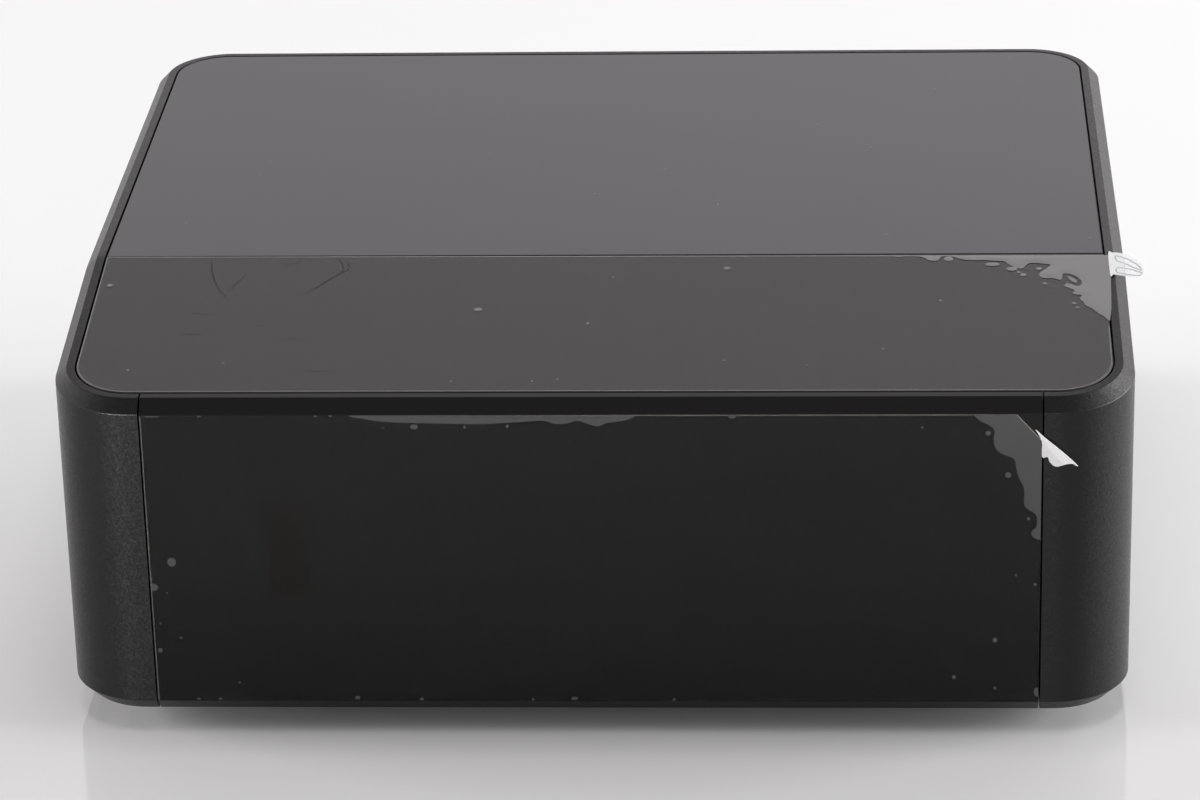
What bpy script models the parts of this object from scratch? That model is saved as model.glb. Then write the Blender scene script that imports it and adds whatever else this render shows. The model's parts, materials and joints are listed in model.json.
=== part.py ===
"""Network music streamer in metres, +Z up, with its front towards -Y.

The origin is the bottom centre of the whole object's box. The housing is modelled round its own centre
and hangs under one empty, which carries it to that origin.
"""

import math

import bmesh
import bpy

# General fits
FIT = 0.0003
CUT_OVERRUN = 0.003
CORNER_STEPS = 10
ROUND_STEPS = 20
SMALL_ROUND_STEPS = 12
FILLET_STEPS = 3
SOCKET_CORNER_STEPS = 5
SHARP_ANGLE_DEGREES = 35.0

# Housing
BODY_WIDTH = 0.220
BODY_DEPTH = 0.192
BODY_HEIGHT = 0.0778
FLOOR_CLEARANCE = 0.0042
SLOPE_LENGTH = 0.0605
SLOPE_DROP = 0.0076
CORNER_RADIUS = 0.0163
TOP_CHAMFER = 0.0024
BOTTOM_CHAMFER = 0.0031
RIM_WIDTH = 0.0017
WALL = 0.0034
SEAM_RUN = 0.0027
SEAM_GAP = 0.00035
LEDGE_WIDTH = 0.0030
LEDGE_THICKNESS = 0.0018
FLANGE_HEIGHT = 0.0036
FLANGE_WIDTH = 0.0027
BAR_DEPTH = 0.008
BAR_THICKNESS = 0.0022
BAR_DROP = 0.0002

# Housing screw bosses
BOSS_RADIUS = 0.004
BOSS_INSET = 0.0085
FRONT_BOSS_INSET = 0.0130
BOSS_HEIGHT = 0.018
BOSS_BORE_DEPTH = 0.014
BOSS_WEB_THICKNESS = 0.0020

# Top cover and touch glass
PLATE_THICKNESS = 0.0020
PLATE_GAP = 0.00035
COVER_RIB_HEIGHT = 0.004
COVER_RIB_THICKNESS = 0.0015
COVER_RIB_LENGTH = 0.150
COVER_RIB_PITCH = 0.040
COVER_RIBS = 3

# Front fascia
TONGUE_REACH = 0.0032
TONGUE_ROOT = 0.008
TONGUE_THICKNESS = 0.002
TONGUE_MARGIN = 0.004

# Base plate
BASE_RECESS = 0.0003
BASE_THICKNESS = 0.0012
POST_RADIUS = 0.003
POST_HEIGHT = 0.006
POST_SINK = 0.0004
POST_INSET = 0.0050
VENT_SLOTS = 7
VENT_SLOT_LENGTH = 0.026
VENT_SLOT_WIDTH = 0.0025
VENT_SLOT_PITCH = 0.006

# Feet
FOOT_RADIUS = 0.009
FOOT_INSET = 0.026
FOOT_PEG_RADIUS = 0.0025
FOOT_PEG_HEIGHT = 0.0030
FOOT_BEVEL = 0.0008
FOOT_HOLLOW_RADIUS = 0.0035
FOOT_HOLLOW_DEPTH = 0.0015

# Screws
BASE_SCREW_RADIUS = 0.0015
BASE_SCREW_LENGTH = 0.012
BOARD_SCREW_RADIUS = 0.00125
BOARD_SCREW_LENGTH = 0.0055
PANEL_SCREW_RADIUS = 0.00125
PANEL_SCREW_LENGTH = 0.0045
SCREW_HEAD_RADIUS = 0.0027
SCREW_HEAD_HEIGHT = 0.0016
SCREW_HEAD_BEVEL = 0.0005
SCREW_SOCKET_RADIUS = 0.0011
SCREW_SOCKET_DEPTH = 0.0009

# Rear window and connector panel
WINDOW_MARGIN = 0.0012
WINDOW_RISE = 0.0062
WINDOW_HEIGHT = 0.046
WINDOW_RADIUS = 0.003
WINDOW_LEDGE = 0.0025
WINDOW_LEDGE_TOP = 0.0065
PANEL_RECESS = 0.0004
PANEL_THICKNESS = 0.0015
PANEL_SCREW_SPREAD = 0.060

# Boards
BOARD_THICKNESS = 0.0016
BOARD_SIDE_CLEARANCE = 0.0014
BOARD_REAR_GAP = 0.0008
BOARD_SPLIT_GAP = 0.005
POWER_BOARD_WIDTH = 0.044
POWER_BOARD_DEPTH = 0.140
MAIN_BOARD_DEPTH = 0.105
CONNECTOR_START = 0.0012

# Phono jacks
JACK_BLOCK_WIDTH = 0.0110
JACK_BLOCK_DEPTH = 0.012
JACK_BLOCK_HEIGHT = 0.0285
JACK_BLOCK_BEVEL = 0.0008
JACK_RISE = 0.0072
JACK_PITCH = 0.0140
JACK_RADIUS = 0.00415
JACK_REACH = 0.0085
JACK_TIP_BEVEL = 0.0004
JACK_INSERT_RADIUS = 0.0033
JACK_INSERT_RECESS = 0.0006
JACK_BORE_RADIUS = 0.00165
JACK_BORE_DEPTH = 0.0075

# 3.5 mm jacks
MINIJACK_BLOCK_WIDTH = 0.0080
MINIJACK_BLOCK_DEPTH = 0.013
MINIJACK_BLOCK_HEIGHT = 0.0205
MINIJACK_RISE = 0.0050
MINIJACK_PITCH = 0.0105
MINIJACK_RADIUS = 0.0031
MINIJACK_REACH = 0.0012
MINIJACK_BORE_RADIUS = 0.0018
MINIJACK_BORE_DEPTH = 0.011

# Optical socket and its shutter
OPTICAL_WIDTH = 0.0112
OPTICAL_HEIGHT = 0.0112
OPTICAL_DEPTH = 0.0140
OPTICAL_WALL = 0.0011
OPTICAL_CAVITY_DEPTH = 0.0115
OPTICAL_PROUD = 0.0006
SHUTTER_THICKNESS = 0.0008
SHUTTER_SETBACK = 0.0010
SHUTTER_HINGE_RADIUS = 0.0006
SHUTTER_SIDE_GAP = 0.00035
SHUTTER_FOOT_GAP = 0.0005

# Video, USB and network sockets
SHELL_PROUD = 0.0005
VIDEO_WIDTH = 0.0150
VIDEO_HEIGHT = 0.0056
VIDEO_DEPTH = 0.0120
VIDEO_SLANT = 0.0018
VIDEO_WALL = 0.0005
VIDEO_TONGUE_WIDTH = 0.0104
VIDEO_TONGUE_HEIGHT = 0.0010
VIDEO_RISE = 0.0010
USB_WIDTH = 0.0132
USB_HEIGHT = 0.0060
USB_DEPTH = 0.0140
USB_WALL = 0.0005
USB_TONGUE_WIDTH = 0.0110
USB_TONGUE_HEIGHT = 0.0018
USB_TONGUE_RISE = 0.0028
USB_RISE = 0.0010
SHELL_FLOOR = 0.0015
TONGUE_SETBACK = 0.0010
NETWORK_WIDTH = 0.0160
NETWORK_HEIGHT = 0.0134
NETWORK_DEPTH = 0.0160
NETWORK_MOUTH_WIDTH = 0.0118
NETWORK_MOUTH_HEIGHT = 0.0070
NETWORK_MOUTH_RISE = 0.0044
NETWORK_NOTCH_WIDTH = 0.0062
NETWORK_NOTCH_HEIGHT = 0.0026
NETWORK_CAVITY_DEPTH = 0.0135

# Setup button
SETUP_SWITCH_WIDTH = 0.0060
SETUP_SWITCH_DEPTH = 0.0045
SETUP_SWITCH_HEIGHT = 0.0090
SETUP_RISE = 0.0060
SETUP_RADIUS = 0.0018
SETUP_PROUD = 0.0010
SETUP_FLANGE_RADIUS = 0.0025
SETUP_FLANGE_THICKNESS = 0.0008
SETUP_TRAVEL = 0.0007
SETUP_PLUNGER_RADIUS = 0.0009
SETUP_PLUNGER_LENGTH = 0.0010

# Mains inlet
INLET_WIDTH = 0.0215
INLET_HEIGHT = 0.0130
INLET_RADIUS = 0.0055
INLET_DEPTH = 0.0160
INLET_MOUTH_WIDTH = 0.0168
INLET_MOUTH_HEIGHT = 0.0088
INLET_MOUTH_RADIUS = 0.0043
INLET_CAVITY_DEPTH = 0.0120
INLET_PROUD = 0.0008
INLET_PIN_RADIUS = 0.0012
INLET_PIN_SPACING = 0.0086
INLET_PIN_LENGTH = 0.0095
INLET_SIDE = 0.0010
INLET_RISE = 0.0030

# Power rocker
ROCKER_FRAME_WIDTH = 0.0140
ROCKER_FRAME_HEIGHT = 0.0210
ROCKER_FRAME_DEPTH = 0.0140
ROCKER_FRAME_PROUD = 0.0012
ROCKER_MOUTH_WIDTH = 0.0114
ROCKER_MOUTH_HEIGHT = 0.0182
ROCKER_CAVITY_DEPTH = 0.0125
ROCKER_GAP = 0.0012
ROCKER_PIVOT_SETBACK = 0.0035
ROCKER_HEART_DEPTH = 0.0020
ROCKER_TILT_DEGREES = 10.0
ROCKER_ARC_STEPS = 5

# Mains converter parts on the power board
CAPACITOR_RADIUS = 0.0063
CAPACITOR_HEIGHT = 0.026
CAPACITOR_GROOVE = 0.0006
CAPACITOR_REAR = 0.034
CAPACITOR_SPREAD = 0.0090
TRANSFORMER_WIDTH = 0.028
TRANSFORMER_DEPTH = 0.024
TRANSFORMER_HEIGHT = 0.021
TRANSFORMER_BOBBIN = 0.004
TRANSFORMER_COIL_WIDTH = 0.018
TRANSFORMER_COIL_HEIGHT = 0.014
TRANSFORMER_REAR = 0.062
SINK_WIDTH = 0.030
SINK_DEPTH = 0.014
SINK_HEIGHT = 0.028
SINK_PLATE = 0.003
SINK_FINS = 6
SINK_FIN_THICKNESS = 0.0012
SINK_REAR = 0.094
HARNESS_RADIUS = 0.0018
HARNESS_RISE = 0.014
HARNESS_INSET = 0.005
HARNESS_FRONT = 0.017
HARNESS_STEPS = 14

# Parts on the main board
MODULE_WIDTH = 0.046
MODULE_DEPTH = 0.034
MODULE_BASE = 0.0014
MODULE_CAN_INSET = 0.003
MODULE_CAN_HEIGHT = 0.0034
MODULE_SIDE = 0.012
MODULE_REAR = 0.058
SHIELD_WIDTH = 0.034
SHIELD_DEPTH = 0.030
SHIELD_HEIGHT = 0.006
SHIELD_BEVEL = 0.0008
SHIELD_SIDE = 0.028
SHIELD_REAR = 0.048

# Boards and cable under the top and behind the fascia
TOUCH_BOARD_WIDTH = 0.140
TOUCH_BOARD_THICKNESS = 0.0010
TOUCH_BOARD_FRONT = 0.014
TOUCH_BOARD_REAR = 0.0085
RIBBON_WIDTH = 0.014
RIBBON_THICKNESS = 0.0004
RIBBON_SIDE = 0.030
RIBBON_INSET = 0.005
RIBBON_SLACK = 0.030
RIBBON_STEPS = 16
SENSOR_BOARD_WIDTH = 0.016
SENSOR_BOARD_HEIGHT = 0.020
SENSOR_BOARD_THICKNESS = 0.0012
SENSOR_INSET = 0.048
SENSOR_RISE = 0.026
SENSOR_EYE_WIDTH = 0.006
SENSOR_EYE_HEIGHT = 0.007
SENSOR_EYE_DEPTH = 0.004
ANTENNA_LENGTH = 0.040
ANTENNA_HEIGHT = 0.012
ANTENNA_THICKNESS = 0.0010
ANTENNA_FRONT = 0.040
ANTENNA_RISE = 0.034

# Protective films and their pull tabs
FILM_THICKNESS = 0.0002
FILM_MARGIN = 0.0002
TAB_THICKNESS = 0.0003
TOP_TAB_LENGTH = 0.0079
TOP_TAB_WIDTH = 0.0107
FOLD_WIDTH = 0.0050
FOLD_HEIGHT = 0.0056
FRONT_TAB_REACH = 0.0094
FRONT_TAB_DROP = 0.0088
FRONT_TAB_LIFT = 0.0024

# Outline of the top tab: out from the film's edge, and forward along it
TOP_TAB_SHARES = (
    (0.00, 0.00),
    (0.55, 0.12),
    (0.90, 0.40),
    (1.00, 0.62),
    (0.92, 1.00),
    (0.53, 0.92),
    (0.00, 0.80),
)

# Outline of the front tab: sideways from the fold, down from it, and out from the film
FRONT_TAB_SHARES = (
    (0.00, 0.00, 0.00),
    (0.28, 0.21, 0.12),
    (1.00, 1.00, 1.00),
    (0.53, 1.00, 0.80),
    (0.26, 0.76, 0.40),
    (0.23, 0.38, 0.15),
)

# Places that follow from the sizes above
UNDERSIDE = FLOOR_CLEARANCE
TOP = UNDERSIDE + BODY_HEIGHT
SIDE_X = BODY_WIDTH / 2
FRONT_Y = -BODY_DEPTH / 2
BACK_Y = BODY_DEPTH / 2
BEND_Y = FRONT_Y + SLOPE_LENGTH
SEAM_X = SIDE_X - CORNER_RADIUS - SEAM_RUN
RIM_INSET = TOP_CHAMFER + RIM_WIDTH
LEDGE_INSET = RIM_INSET + LEDGE_WIDTH
SEAT_DEPTH = PLATE_THICKNESS + FIT
FLANGE_INSET = BOTTOM_CHAMFER + FLANGE_WIDTH
BASE_BOTTOM = UNDERSIDE + BASE_RECESS
BASE_TOP = BASE_BOTTOM + BASE_THICKNESS
BOARD_BOTTOM = BASE_TOP + POST_HEIGHT + FIT
BOARD_TOP = BOARD_BOTTOM + BOARD_THICKNESS
PART_BOTTOM = BOARD_TOP + FIT
PANEL_OUT = BACK_Y - PANEL_RECESS
PANEL_IN = PANEL_OUT - PANEL_THICKNESS
CONNECTOR_FACE = PANEL_IN - FIT
WINDOW_X = SIDE_X - CORNER_RADIUS - WINDOW_MARGIN
WINDOW_BOTTOM = UNDERSIDE + WINDOW_RISE
WINDOW_TOP = WINDOW_BOTTOM + WINDOW_HEIGHT
BOARD_EDGE_X = SIDE_X - BOSS_INSET - BOSS_RADIUS - BOARD_SIDE_CLEARANCE
BOARD_BACK_Y = BACK_Y - WALL - BOARD_REAR_GAP
POWER_BOARD_X = -BOARD_EDGE_X + POWER_BOARD_WIDTH / 2
MAIN_BOARD_WIDTH = 2 * BOARD_EDGE_X - POWER_BOARD_WIDTH - BOARD_SPLIT_GAP
MAIN_BOARD_X = BOARD_EDGE_X - MAIN_BOARD_WIDTH / 2
CONNECTOR_EDGE_X = WINDOW_X - WINDOW_LEDGE - CONNECTOR_START
FILM_BOTTOM = FIT
FILM_TOP = FILM_BOTTOM + FILM_THICKNESS
FILM_EDGE_X = SIDE_X - RIM_INSET - PLATE_GAP - FILM_MARGIN
TOP_TAB_START = FILM_EDGE_X + FIT
TOP_TAB_OVERHANG = TOP_TAB_START + TOP_TAB_LENGTH - SIDE_X
FRONT_REACH = FILM_TOP + FRONT_TAB_LIFT + TAB_THICKNESS + FIT
REAR_REACH = JACK_REACH - PANEL_RECESS
CENTRE_X = -TOP_TAB_OVERHANG / 2
CENTRE_Y = (FRONT_REACH - REAR_REACH) / 2


def top_height(y):
    """Height of the top face above the floor: flat at the rear, sloping down in front of the bend."""
    return TOP - max(BEND_Y - y, 0.0) * SLOPE_DROP / SLOPE_LENGTH


def clear_scene():
    for item in list(bpy.data.objects):
        bpy.data.objects.remove(item, do_unlink=True)


def finish(name, colour, roughness, metallic=0.0):
    """One plain Principled material for each sub-part."""
    material = bpy.data.materials.new(name)
    material.use_nodes = True
    shader = material.node_tree.nodes["Principled BSDF"]
    shader.inputs["Base Color"].default_value = (*colour, 1.0)
    shader.inputs["Roughness"].default_value = roughness
    shader.inputs["Metallic"].default_value = metallic
    return material


SATIN_BLACK = ((0.035, 0.034, 0.036), 0.45, 0.0)
GLOSS_BLACK = ((0.012, 0.011, 0.011), 0.08, 0.0)
SATIN_GREY = ((0.060, 0.058, 0.060), 0.40, 0.0)
SHEET_STEEL = ((0.45, 0.45, 0.46), 0.45, 1.0)
BLACK_STEEL = ((0.03, 0.03, 0.03), 0.50, 1.0)
BRIGHT_METAL = ((0.80, 0.79, 0.76), 0.22, 1.0)
GOLD_METAL = ((0.83, 0.66, 0.34), 0.25, 1.0)
ALUMINIUM = ((0.77, 0.78, 0.80), 0.40, 1.0)
BOARD_GREEN = ((0.03, 0.13, 0.07), 0.55, 0.0)
BLACK_PLASTIC = ((0.02, 0.02, 0.02), 0.50, 0.0)
RUBBER = ((0.025, 0.025, 0.025), 0.85, 0.0)
CLEAR_FILM = ((0.55, 0.53, 0.53), 0.15, 0.0)
WHITE_FILM = ((0.84, 0.84, 0.84), 0.50, 0.0)
COIL_YELLOW = ((0.72, 0.55, 0.12), 0.50, 0.0)
CABLE_WHITE = ((0.82, 0.82, 0.80), 0.50, 0.0)


def place(name, geometry, look, at=(0.0, 0.0, 0.0), smooth=False):
    """Turn a bmesh into a named object under the housing's empty."""
    bmesh.ops.recalc_face_normals(geometry, faces=geometry.faces)
    mesh = bpy.data.meshes.new(name)
    geometry.to_mesh(mesh)
    geometry.free()
    mesh.materials.append(finish(name, *look))
    return place_mesh(name, mesh, at, smooth)


def place_mesh(name, mesh, at=(0.0, 0.0, 0.0), smooth=False):
    item = bpy.data.objects.new(name, mesh)
    bpy.context.collection.objects.link(item)
    item.parent = bpy.data.objects["streamer_centre"]
    item.location = at
    if smooth:
        mesh.shade_smooth()
        mesh.set_sharp_from_angle(angle=math.radians(SHARP_ANGLE_DEGREES))
    return item


def tool(name, geometry, at=(0.0, 0.0, 0.0)):
    """A cutter or an added boss, which the finished part leaves out."""
    bmesh.ops.recalc_face_normals(geometry, faces=geometry.faces)
    mesh = bpy.data.meshes.new(name)
    geometry.to_mesh(mesh)
    geometry.free()
    item = place_mesh(name, mesh, at)
    item.hide_render = True
    item.display_type = "WIRE"
    return item


def combine(target, operation, helper):
    modifier = target.modifiers.new(helper.name, "BOOLEAN")
    modifier.operation = operation
    modifier.solver = "EXACT"
    modifier.object = helper


def cut(target, geometry, name):
    combine(target, "DIFFERENCE", tool(name, geometry, target.location))


def add(target, geometry, name):
    combine(target, "UNION", tool(name, geometry, target.location))


def loft(geometry, loops, capped=True, closed_rows=False):
    """Skin between rings of points: capped at both ends, or closed on itself."""
    rings = [[geometry.verts.new(point) for point in loop] for loop in loops]
    count = len(rings[0])
    pairs = list(zip(rings, rings[1:]))
    if closed_rows:
        pairs.append((rings[-1], rings[0]))
    for lower, upper in pairs:
        for i in range(count):
            j = (i + 1) % count
            geometry.faces.new((lower[i], lower[j], upper[j], upper[i]))
    if capped:
        geometry.faces.new(rings[0][::-1])
        geometry.faces.new(rings[-1])
    return geometry


def box(geometry, low, high):
    (x0, y0, z0), (x1, y1, z1) = low, high
    ring = [(x0, y0), (x1, y0), (x1, y1), (x0, y1)]
    return loft(geometry, [[(x, y, z) for x, y in ring] for z in (z0, z1)])


def prism_z(geometry, outline, low, high):
    return loft(geometry, [[(x, y, z) for x, y in outline] for z in (low, high)])


def prism_y(geometry, outline, low, high):
    """Outline in x and z, drawn along y."""
    return loft(geometry, [[(x, y, z) for x, z in outline] for y in (low, high)])


def prism_x(geometry, outline, low, high):
    """Outline in y and z, drawn along x."""
    return loft(geometry, [[(x, y, z) for y, z in outline] for x in (low, high)])


def circle(radius, steps, cx=0.0, cy=0.0):
    turn = 2 * math.pi / steps
    return [(cx + radius * math.cos(i * turn), cy + radius * math.sin(i * turn)) for i in range(steps)]


def quarter(cx, cy, radius, start_degrees, steps, clockwise=False):
    """Points of a quarter circle from the start angle."""
    way = -1.0 if clockwise else 1.0
    start = math.radians(start_degrees)
    points = []
    for i in range(steps + 1):
        angle = start + way * i / steps * math.pi / 2
        points.append((cx + radius * math.cos(angle), cy + radius * math.sin(angle)))
    return points


def rounded(width, height, radius, steps, cx=0.0, cy=0.0):
    """Rectangle with round corners."""
    x = width / 2 - radius
    y = height / 2 - radius
    points = quarter(cx + x, cy + y, radius, 0.0, steps)
    points += quarter(cx - x, cy + y, radius, 90.0, steps)
    points += quarter(cx - x, cy - y, radius, 180.0, steps)
    points += quarter(cx + x, cy - y, radius, 270.0, steps)
    return points


def turned(geometry, profile, steps, axis="Z"):
    """Turn an outline of radius and height about its axis. Points on the axis close the solid."""
    rows = []
    for radius, height in profile:
        if radius == 0.0:
            flat = [(0.0, 0.0)]
        else:
            flat = circle(radius, steps)
        if axis == "Z":
            rows.append([geometry.verts.new((x, y, height)) for x, y in flat])
        else:
            rows.append([geometry.verts.new((x, height, -y)) for x, y in flat])
    hollow = profile[0][0] > 0.0
    pairs = list(zip(rows, rows[1:]))
    if hollow:
        pairs.append((rows[-1], rows[0]))
    for lower, upper in pairs:
        for i in range(steps):
            j = (i + 1) % steps
            ring = [lower[i % len(lower)], lower[j % len(lower)]]
            ring += [upper[j % len(upper)], upper[i % len(upper)]]
            ring = list(dict.fromkeys(ring))
            if len(ring) > 2:
                geometry.faces.new(ring)
    return geometry


def wrap_path(inset):
    """Outline of the wrap seen from above, from its left front seam round the back to the right one."""
    x = SIDE_X - CORNER_RADIUS
    y = BACK_Y - CORNER_RADIUS
    radius = CORNER_RADIUS - inset
    seam = SEAM_X + SEAM_GAP / 2
    points = [(-seam, FRONT_Y + inset)]
    points += quarter(-x, -y, radius, -90.0, CORNER_STEPS, clockwise=True)
    points += [(-SIDE_X + inset, BEND_Y)]
    points += quarter(-x, y, radius, 180.0, CORNER_STEPS, clockwise=True)
    points += quarter(x, y, radius, 90.0, CORNER_STEPS, clockwise=True)
    points += [(SIDE_X - inset, BEND_Y)]
    points += quarter(x, -y, radius, 0.0, CORNER_STEPS, clockwise=True)
    points += [(seam, FRONT_Y + inset)]
    return points


def wall_section():
    """Section of the wall: inset from the outer face, height, and whether the height hangs from the top."""
    ledge_under = -SEAT_DEPTH - LEDGE_THICKNESS
    return [
        (BOTTOM_CHAMFER, UNDERSIDE, False),
        (0.0, UNDERSIDE + BOTTOM_CHAMFER, False),
        (0.0, -TOP_CHAMFER, True),
        (TOP_CHAMFER, 0.0, True),
        (RIM_INSET, 0.0, True),
        (RIM_INSET, -SEAT_DEPTH, True),
        (LEDGE_INSET, -SEAT_DEPTH, True),
        (LEDGE_INSET, ledge_under, True),
        (WALL, ledge_under - (LEDGE_INSET - WALL), True),
        (WALL, UNDERSIDE + FLANGE_HEIGHT, False),
        (FLANGE_INSET, UNDERSIDE + FLANGE_HEIGHT, False),
        (FLANGE_INSET, UNDERSIDE, False),
    ]


def section_height(y, height, from_top):
    return top_height(y) + height if from_top else height


def corner_places():
    """Name and signs of the four corners."""
    return [
        ("front_left", -1, -1),
        ("front_right", 1, -1),
        ("rear_left", -1, 1),
        ("rear_right", 1, 1),
    ]


def boss_places():
    """Name and place of each base screw; the front ones stand further in, out of sight under the edge."""
    places = []
    for name, side, end in corner_places():
        inset = BOSS_INSET if end > 0 else FRONT_BOSS_INSET
        places.append(("base_screw_" + name, side * (SIDE_X - inset), end * (BACK_Y - inset)))
    return places


def boss_web(x, y):
    """Outline of the web that ties a boss to the middle of the rounded wall at its corner."""
    side = math.copysign(math.sqrt(0.5), x)
    end = math.copysign(math.sqrt(0.5), y)
    reach = CORNER_RADIUS - WALL / 2
    tip_x = math.copysign(SIDE_X - CORNER_RADIUS, x) + side * reach
    tip_y = math.copysign(BACK_Y - CORNER_RADIUS, y) + end * reach
    half = BOSS_WEB_THICKNESS / 2
    return [
        (x - end * half, y + side * half),
        (x + end * half, y - side * half),
        (tip_x + end * half, tip_y - side * half),
        (tip_x - end * half, tip_y + side * half),
    ]


def housing_wrap():
    """Side and back walls in one, with the rim, the seat of the top plates and the rear window."""
    rows = []
    for inset, height, from_top in wall_section():
        rows.append([(x, y, section_height(y, height, from_top)) for x, y in wrap_path(inset)])
    stations = [[row[i] for row in rows] for i in range(len(rows[0]))]
    wrap = place("housing_wrap", loft(bmesh.new(), stations), SATIN_BLACK)

    bar_end = SIDE_X - LEDGE_INSET + LEDGE_WIDTH / 2
    bar_top = []
    for y in (BEND_Y - BAR_DEPTH / 2, BEND_Y, BEND_Y + BAR_DEPTH / 2):
        bar_top.append((y, top_height(y) - SEAT_DEPTH - BAR_DROP))
    bar_under = [(y, z - BAR_THICKNESS) for y, z in reversed(bar_top)]
    add(wrap, prism_x(bmesh.new(), bar_top + bar_under, -bar_end, bar_end), "wrap_cross_bar")

    bosses = bmesh.new()
    webs = bmesh.new()
    bores = bmesh.new()
    boss_bottom = BASE_TOP + FIT
    bore_radius = BASE_SCREW_RADIUS + FIT
    for _, x, y in boss_places():
        prism_z(bosses, circle(BOSS_RADIUS, ROUND_STEPS, x, y), boss_bottom, boss_bottom + BOSS_HEIGHT)
        if y < 0.0:
            prism_z(webs, boss_web(x, y), boss_bottom, boss_bottom + BOSS_HEIGHT)
        bore = circle(bore_radius, SMALL_ROUND_STEPS, x, y)
        prism_z(bores, bore, boss_bottom - CUT_OVERRUN, boss_bottom + BOSS_BORE_DEPTH)
    add(wrap, bosses, "wrap_bosses")
    add(wrap, webs, "wrap_boss_webs")
    cut(wrap, bores, "wrap_boss_bores")

    window_z = (WINDOW_BOTTOM + WINDOW_TOP) / 2
    window = rounded(2 * WINDOW_X, WINDOW_HEIGHT, WINDOW_RADIUS, FILLET_STEPS, cy=window_z)
    cut(wrap, prism_y(bmesh.new(), window, PANEL_IN - FIT, BACK_Y + CUT_OVERRUN), "wrap_panel_rebate")
    low = WINDOW_BOTTOM + WINDOW_LEDGE
    high = WINDOW_TOP - WINDOW_LEDGE_TOP
    wide = 2 * (WINDOW_X - WINDOW_LEDGE)
    opening = rounded(wide, high - low, WINDOW_RADIUS, FILLET_STEPS, cy=(low + high) / 2)
    through = prism_y(bmesh.new(), opening, BACK_Y - WALL - CUT_OVERRUN, BACK_Y)
    cut(wrap, through, "wrap_window")
    holes = bmesh.new()
    for hole in panel_screw_holes():
        prism_y(holes, hole, BACK_Y - WALL - CUT_OVERRUN, BACK_Y)
    cut(wrap, holes, "wrap_panel_holes")
    return wrap


def panel_screw_places():
    z = WINDOW_TOP - WINDOW_LEDGE_TOP / 2
    return [("panel_screw_left", -PANEL_SCREW_SPREAD, z), ("panel_screw_right", PANEL_SCREW_SPREAD, z)]


def panel_screw_holes():
    return [circle(PANEL_SCREW_RADIUS + FIT, SMALL_ROUND_STEPS, x, z) for _, x, z in panel_screw_places()]


def front_fascia():
    """Gloss front between the two seams, with tongues that reach behind the wrap's front corners."""
    end = SEAM_X - SEAM_GAP / 2
    section = []
    for inset, height, from_top in wall_section():
        y = FRONT_Y + inset
        section.append((y, section_height(y, height, from_top)))
    fascia = place("front_fascia", prism_x(bmesh.new(), section, -end, end), GLOSS_BLACK)
    low = UNDERSIDE + FLANGE_HEIGHT + TONGUE_MARGIN
    high = top_height(FRONT_Y) - SEAT_DEPTH - LEDGE_THICKNESS - LEDGE_INSET - TONGUE_MARGIN
    behind = FRONT_Y + WALL + FIT
    inner = behind + TONGUE_THICKNESS
    tongues = bmesh.new()
    for side in (-1, 1):
        shape = [
            (side * (end - TONGUE_ROOT), FRONT_Y + WALL / 2),
            (side * (end - FIT), FRONT_Y + WALL / 2),
            (side * (end - FIT), behind),
            (side * (end + TONGUE_REACH), behind),
            (side * (end + TONGUE_REACH), inner),
            (side * (end - TONGUE_ROOT), inner),
        ]
        prism_z(tongues, shape, low, high)
    add(fascia, tongues, "fascia_tongues")
    return fascia


def plate_outline(back_inset):
    """Half of the top: the straight edge at the bend and round corners at the far end."""
    inset = RIM_INSET + PLATE_GAP
    x = SIDE_X - CORNER_RADIUS
    y = BACK_Y - CORNER_RADIUS
    radius = CORNER_RADIUS - inset
    side = SIDE_X - inset
    points = [(side, back_inset)]
    points += quarter(x, y, radius, 0.0, CORNER_STEPS)
    points += quarter(-x, y, radius, 90.0, CORNER_STEPS)
    points += [(-side, back_inset)]
    return points


def rear_top_cover():
    edge = BEND_Y + SEAM_GAP / 2
    outline = plate_outline(edge)
    cover = place("rear_top_cover", prism_z(bmesh.new(), outline, TOP - PLATE_THICKNESS, TOP), SATIN_GREY)
    ribs = bmesh.new()
    middle = (edge + BACK_Y) / 2
    for i in range(COVER_RIBS):
        y = middle + (i - (COVER_RIBS - 1) / 2) * COVER_RIB_PITCH
        low = (-COVER_RIB_LENGTH / 2, y, TOP - PLATE_THICKNESS - COVER_RIB_HEIGHT)
        high = (COVER_RIB_LENGTH / 2, y + COVER_RIB_THICKNESS, TOP - PLATE_THICKNESS / 2)
        box(ribs, low, high)
    add(cover, ribs, "cover_ribs")
    return cover


def sloped_plate(geometry, outline, lift, thickness):
    """Plate that follows the sloping front part of the top."""
    high = [(x, y, top_height(y) + lift) for x, y in outline]
    low = [(x, y, z - thickness) for x, y, z in high]
    return loft(geometry, [low, high])


def glass_outline(inset, edge):
    """Front part of the top: round corners at the front and a straight edge at the bend."""
    x = SIDE_X - CORNER_RADIUS
    y = BACK_Y - CORNER_RADIUS
    radius = CORNER_RADIUS - inset
    side = SIDE_X - inset
    points = [(-side, edge)]
    points += quarter(-x, -y, radius, 180.0, CORNER_STEPS)
    points += quarter(x, -y, radius, 270.0, CORNER_STEPS)
    points += [(side, edge)]
    return points


def touch_glass():
    outline = glass_outline(RIM_INSET + PLATE_GAP, BEND_Y - SEAM_GAP / 2)
    return place("touch_glass", sloped_plate(bmesh.new(), outline, 0.0, PLATE_THICKNESS), GLOSS_BLACK)


def closed_path(inset):
    """The whole footprint at an inset, with four round corners."""
    return rounded(BODY_WIDTH - 2 * inset, BODY_DEPTH - 2 * inset, CORNER_RADIUS - inset, CORNER_STEPS)


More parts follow.
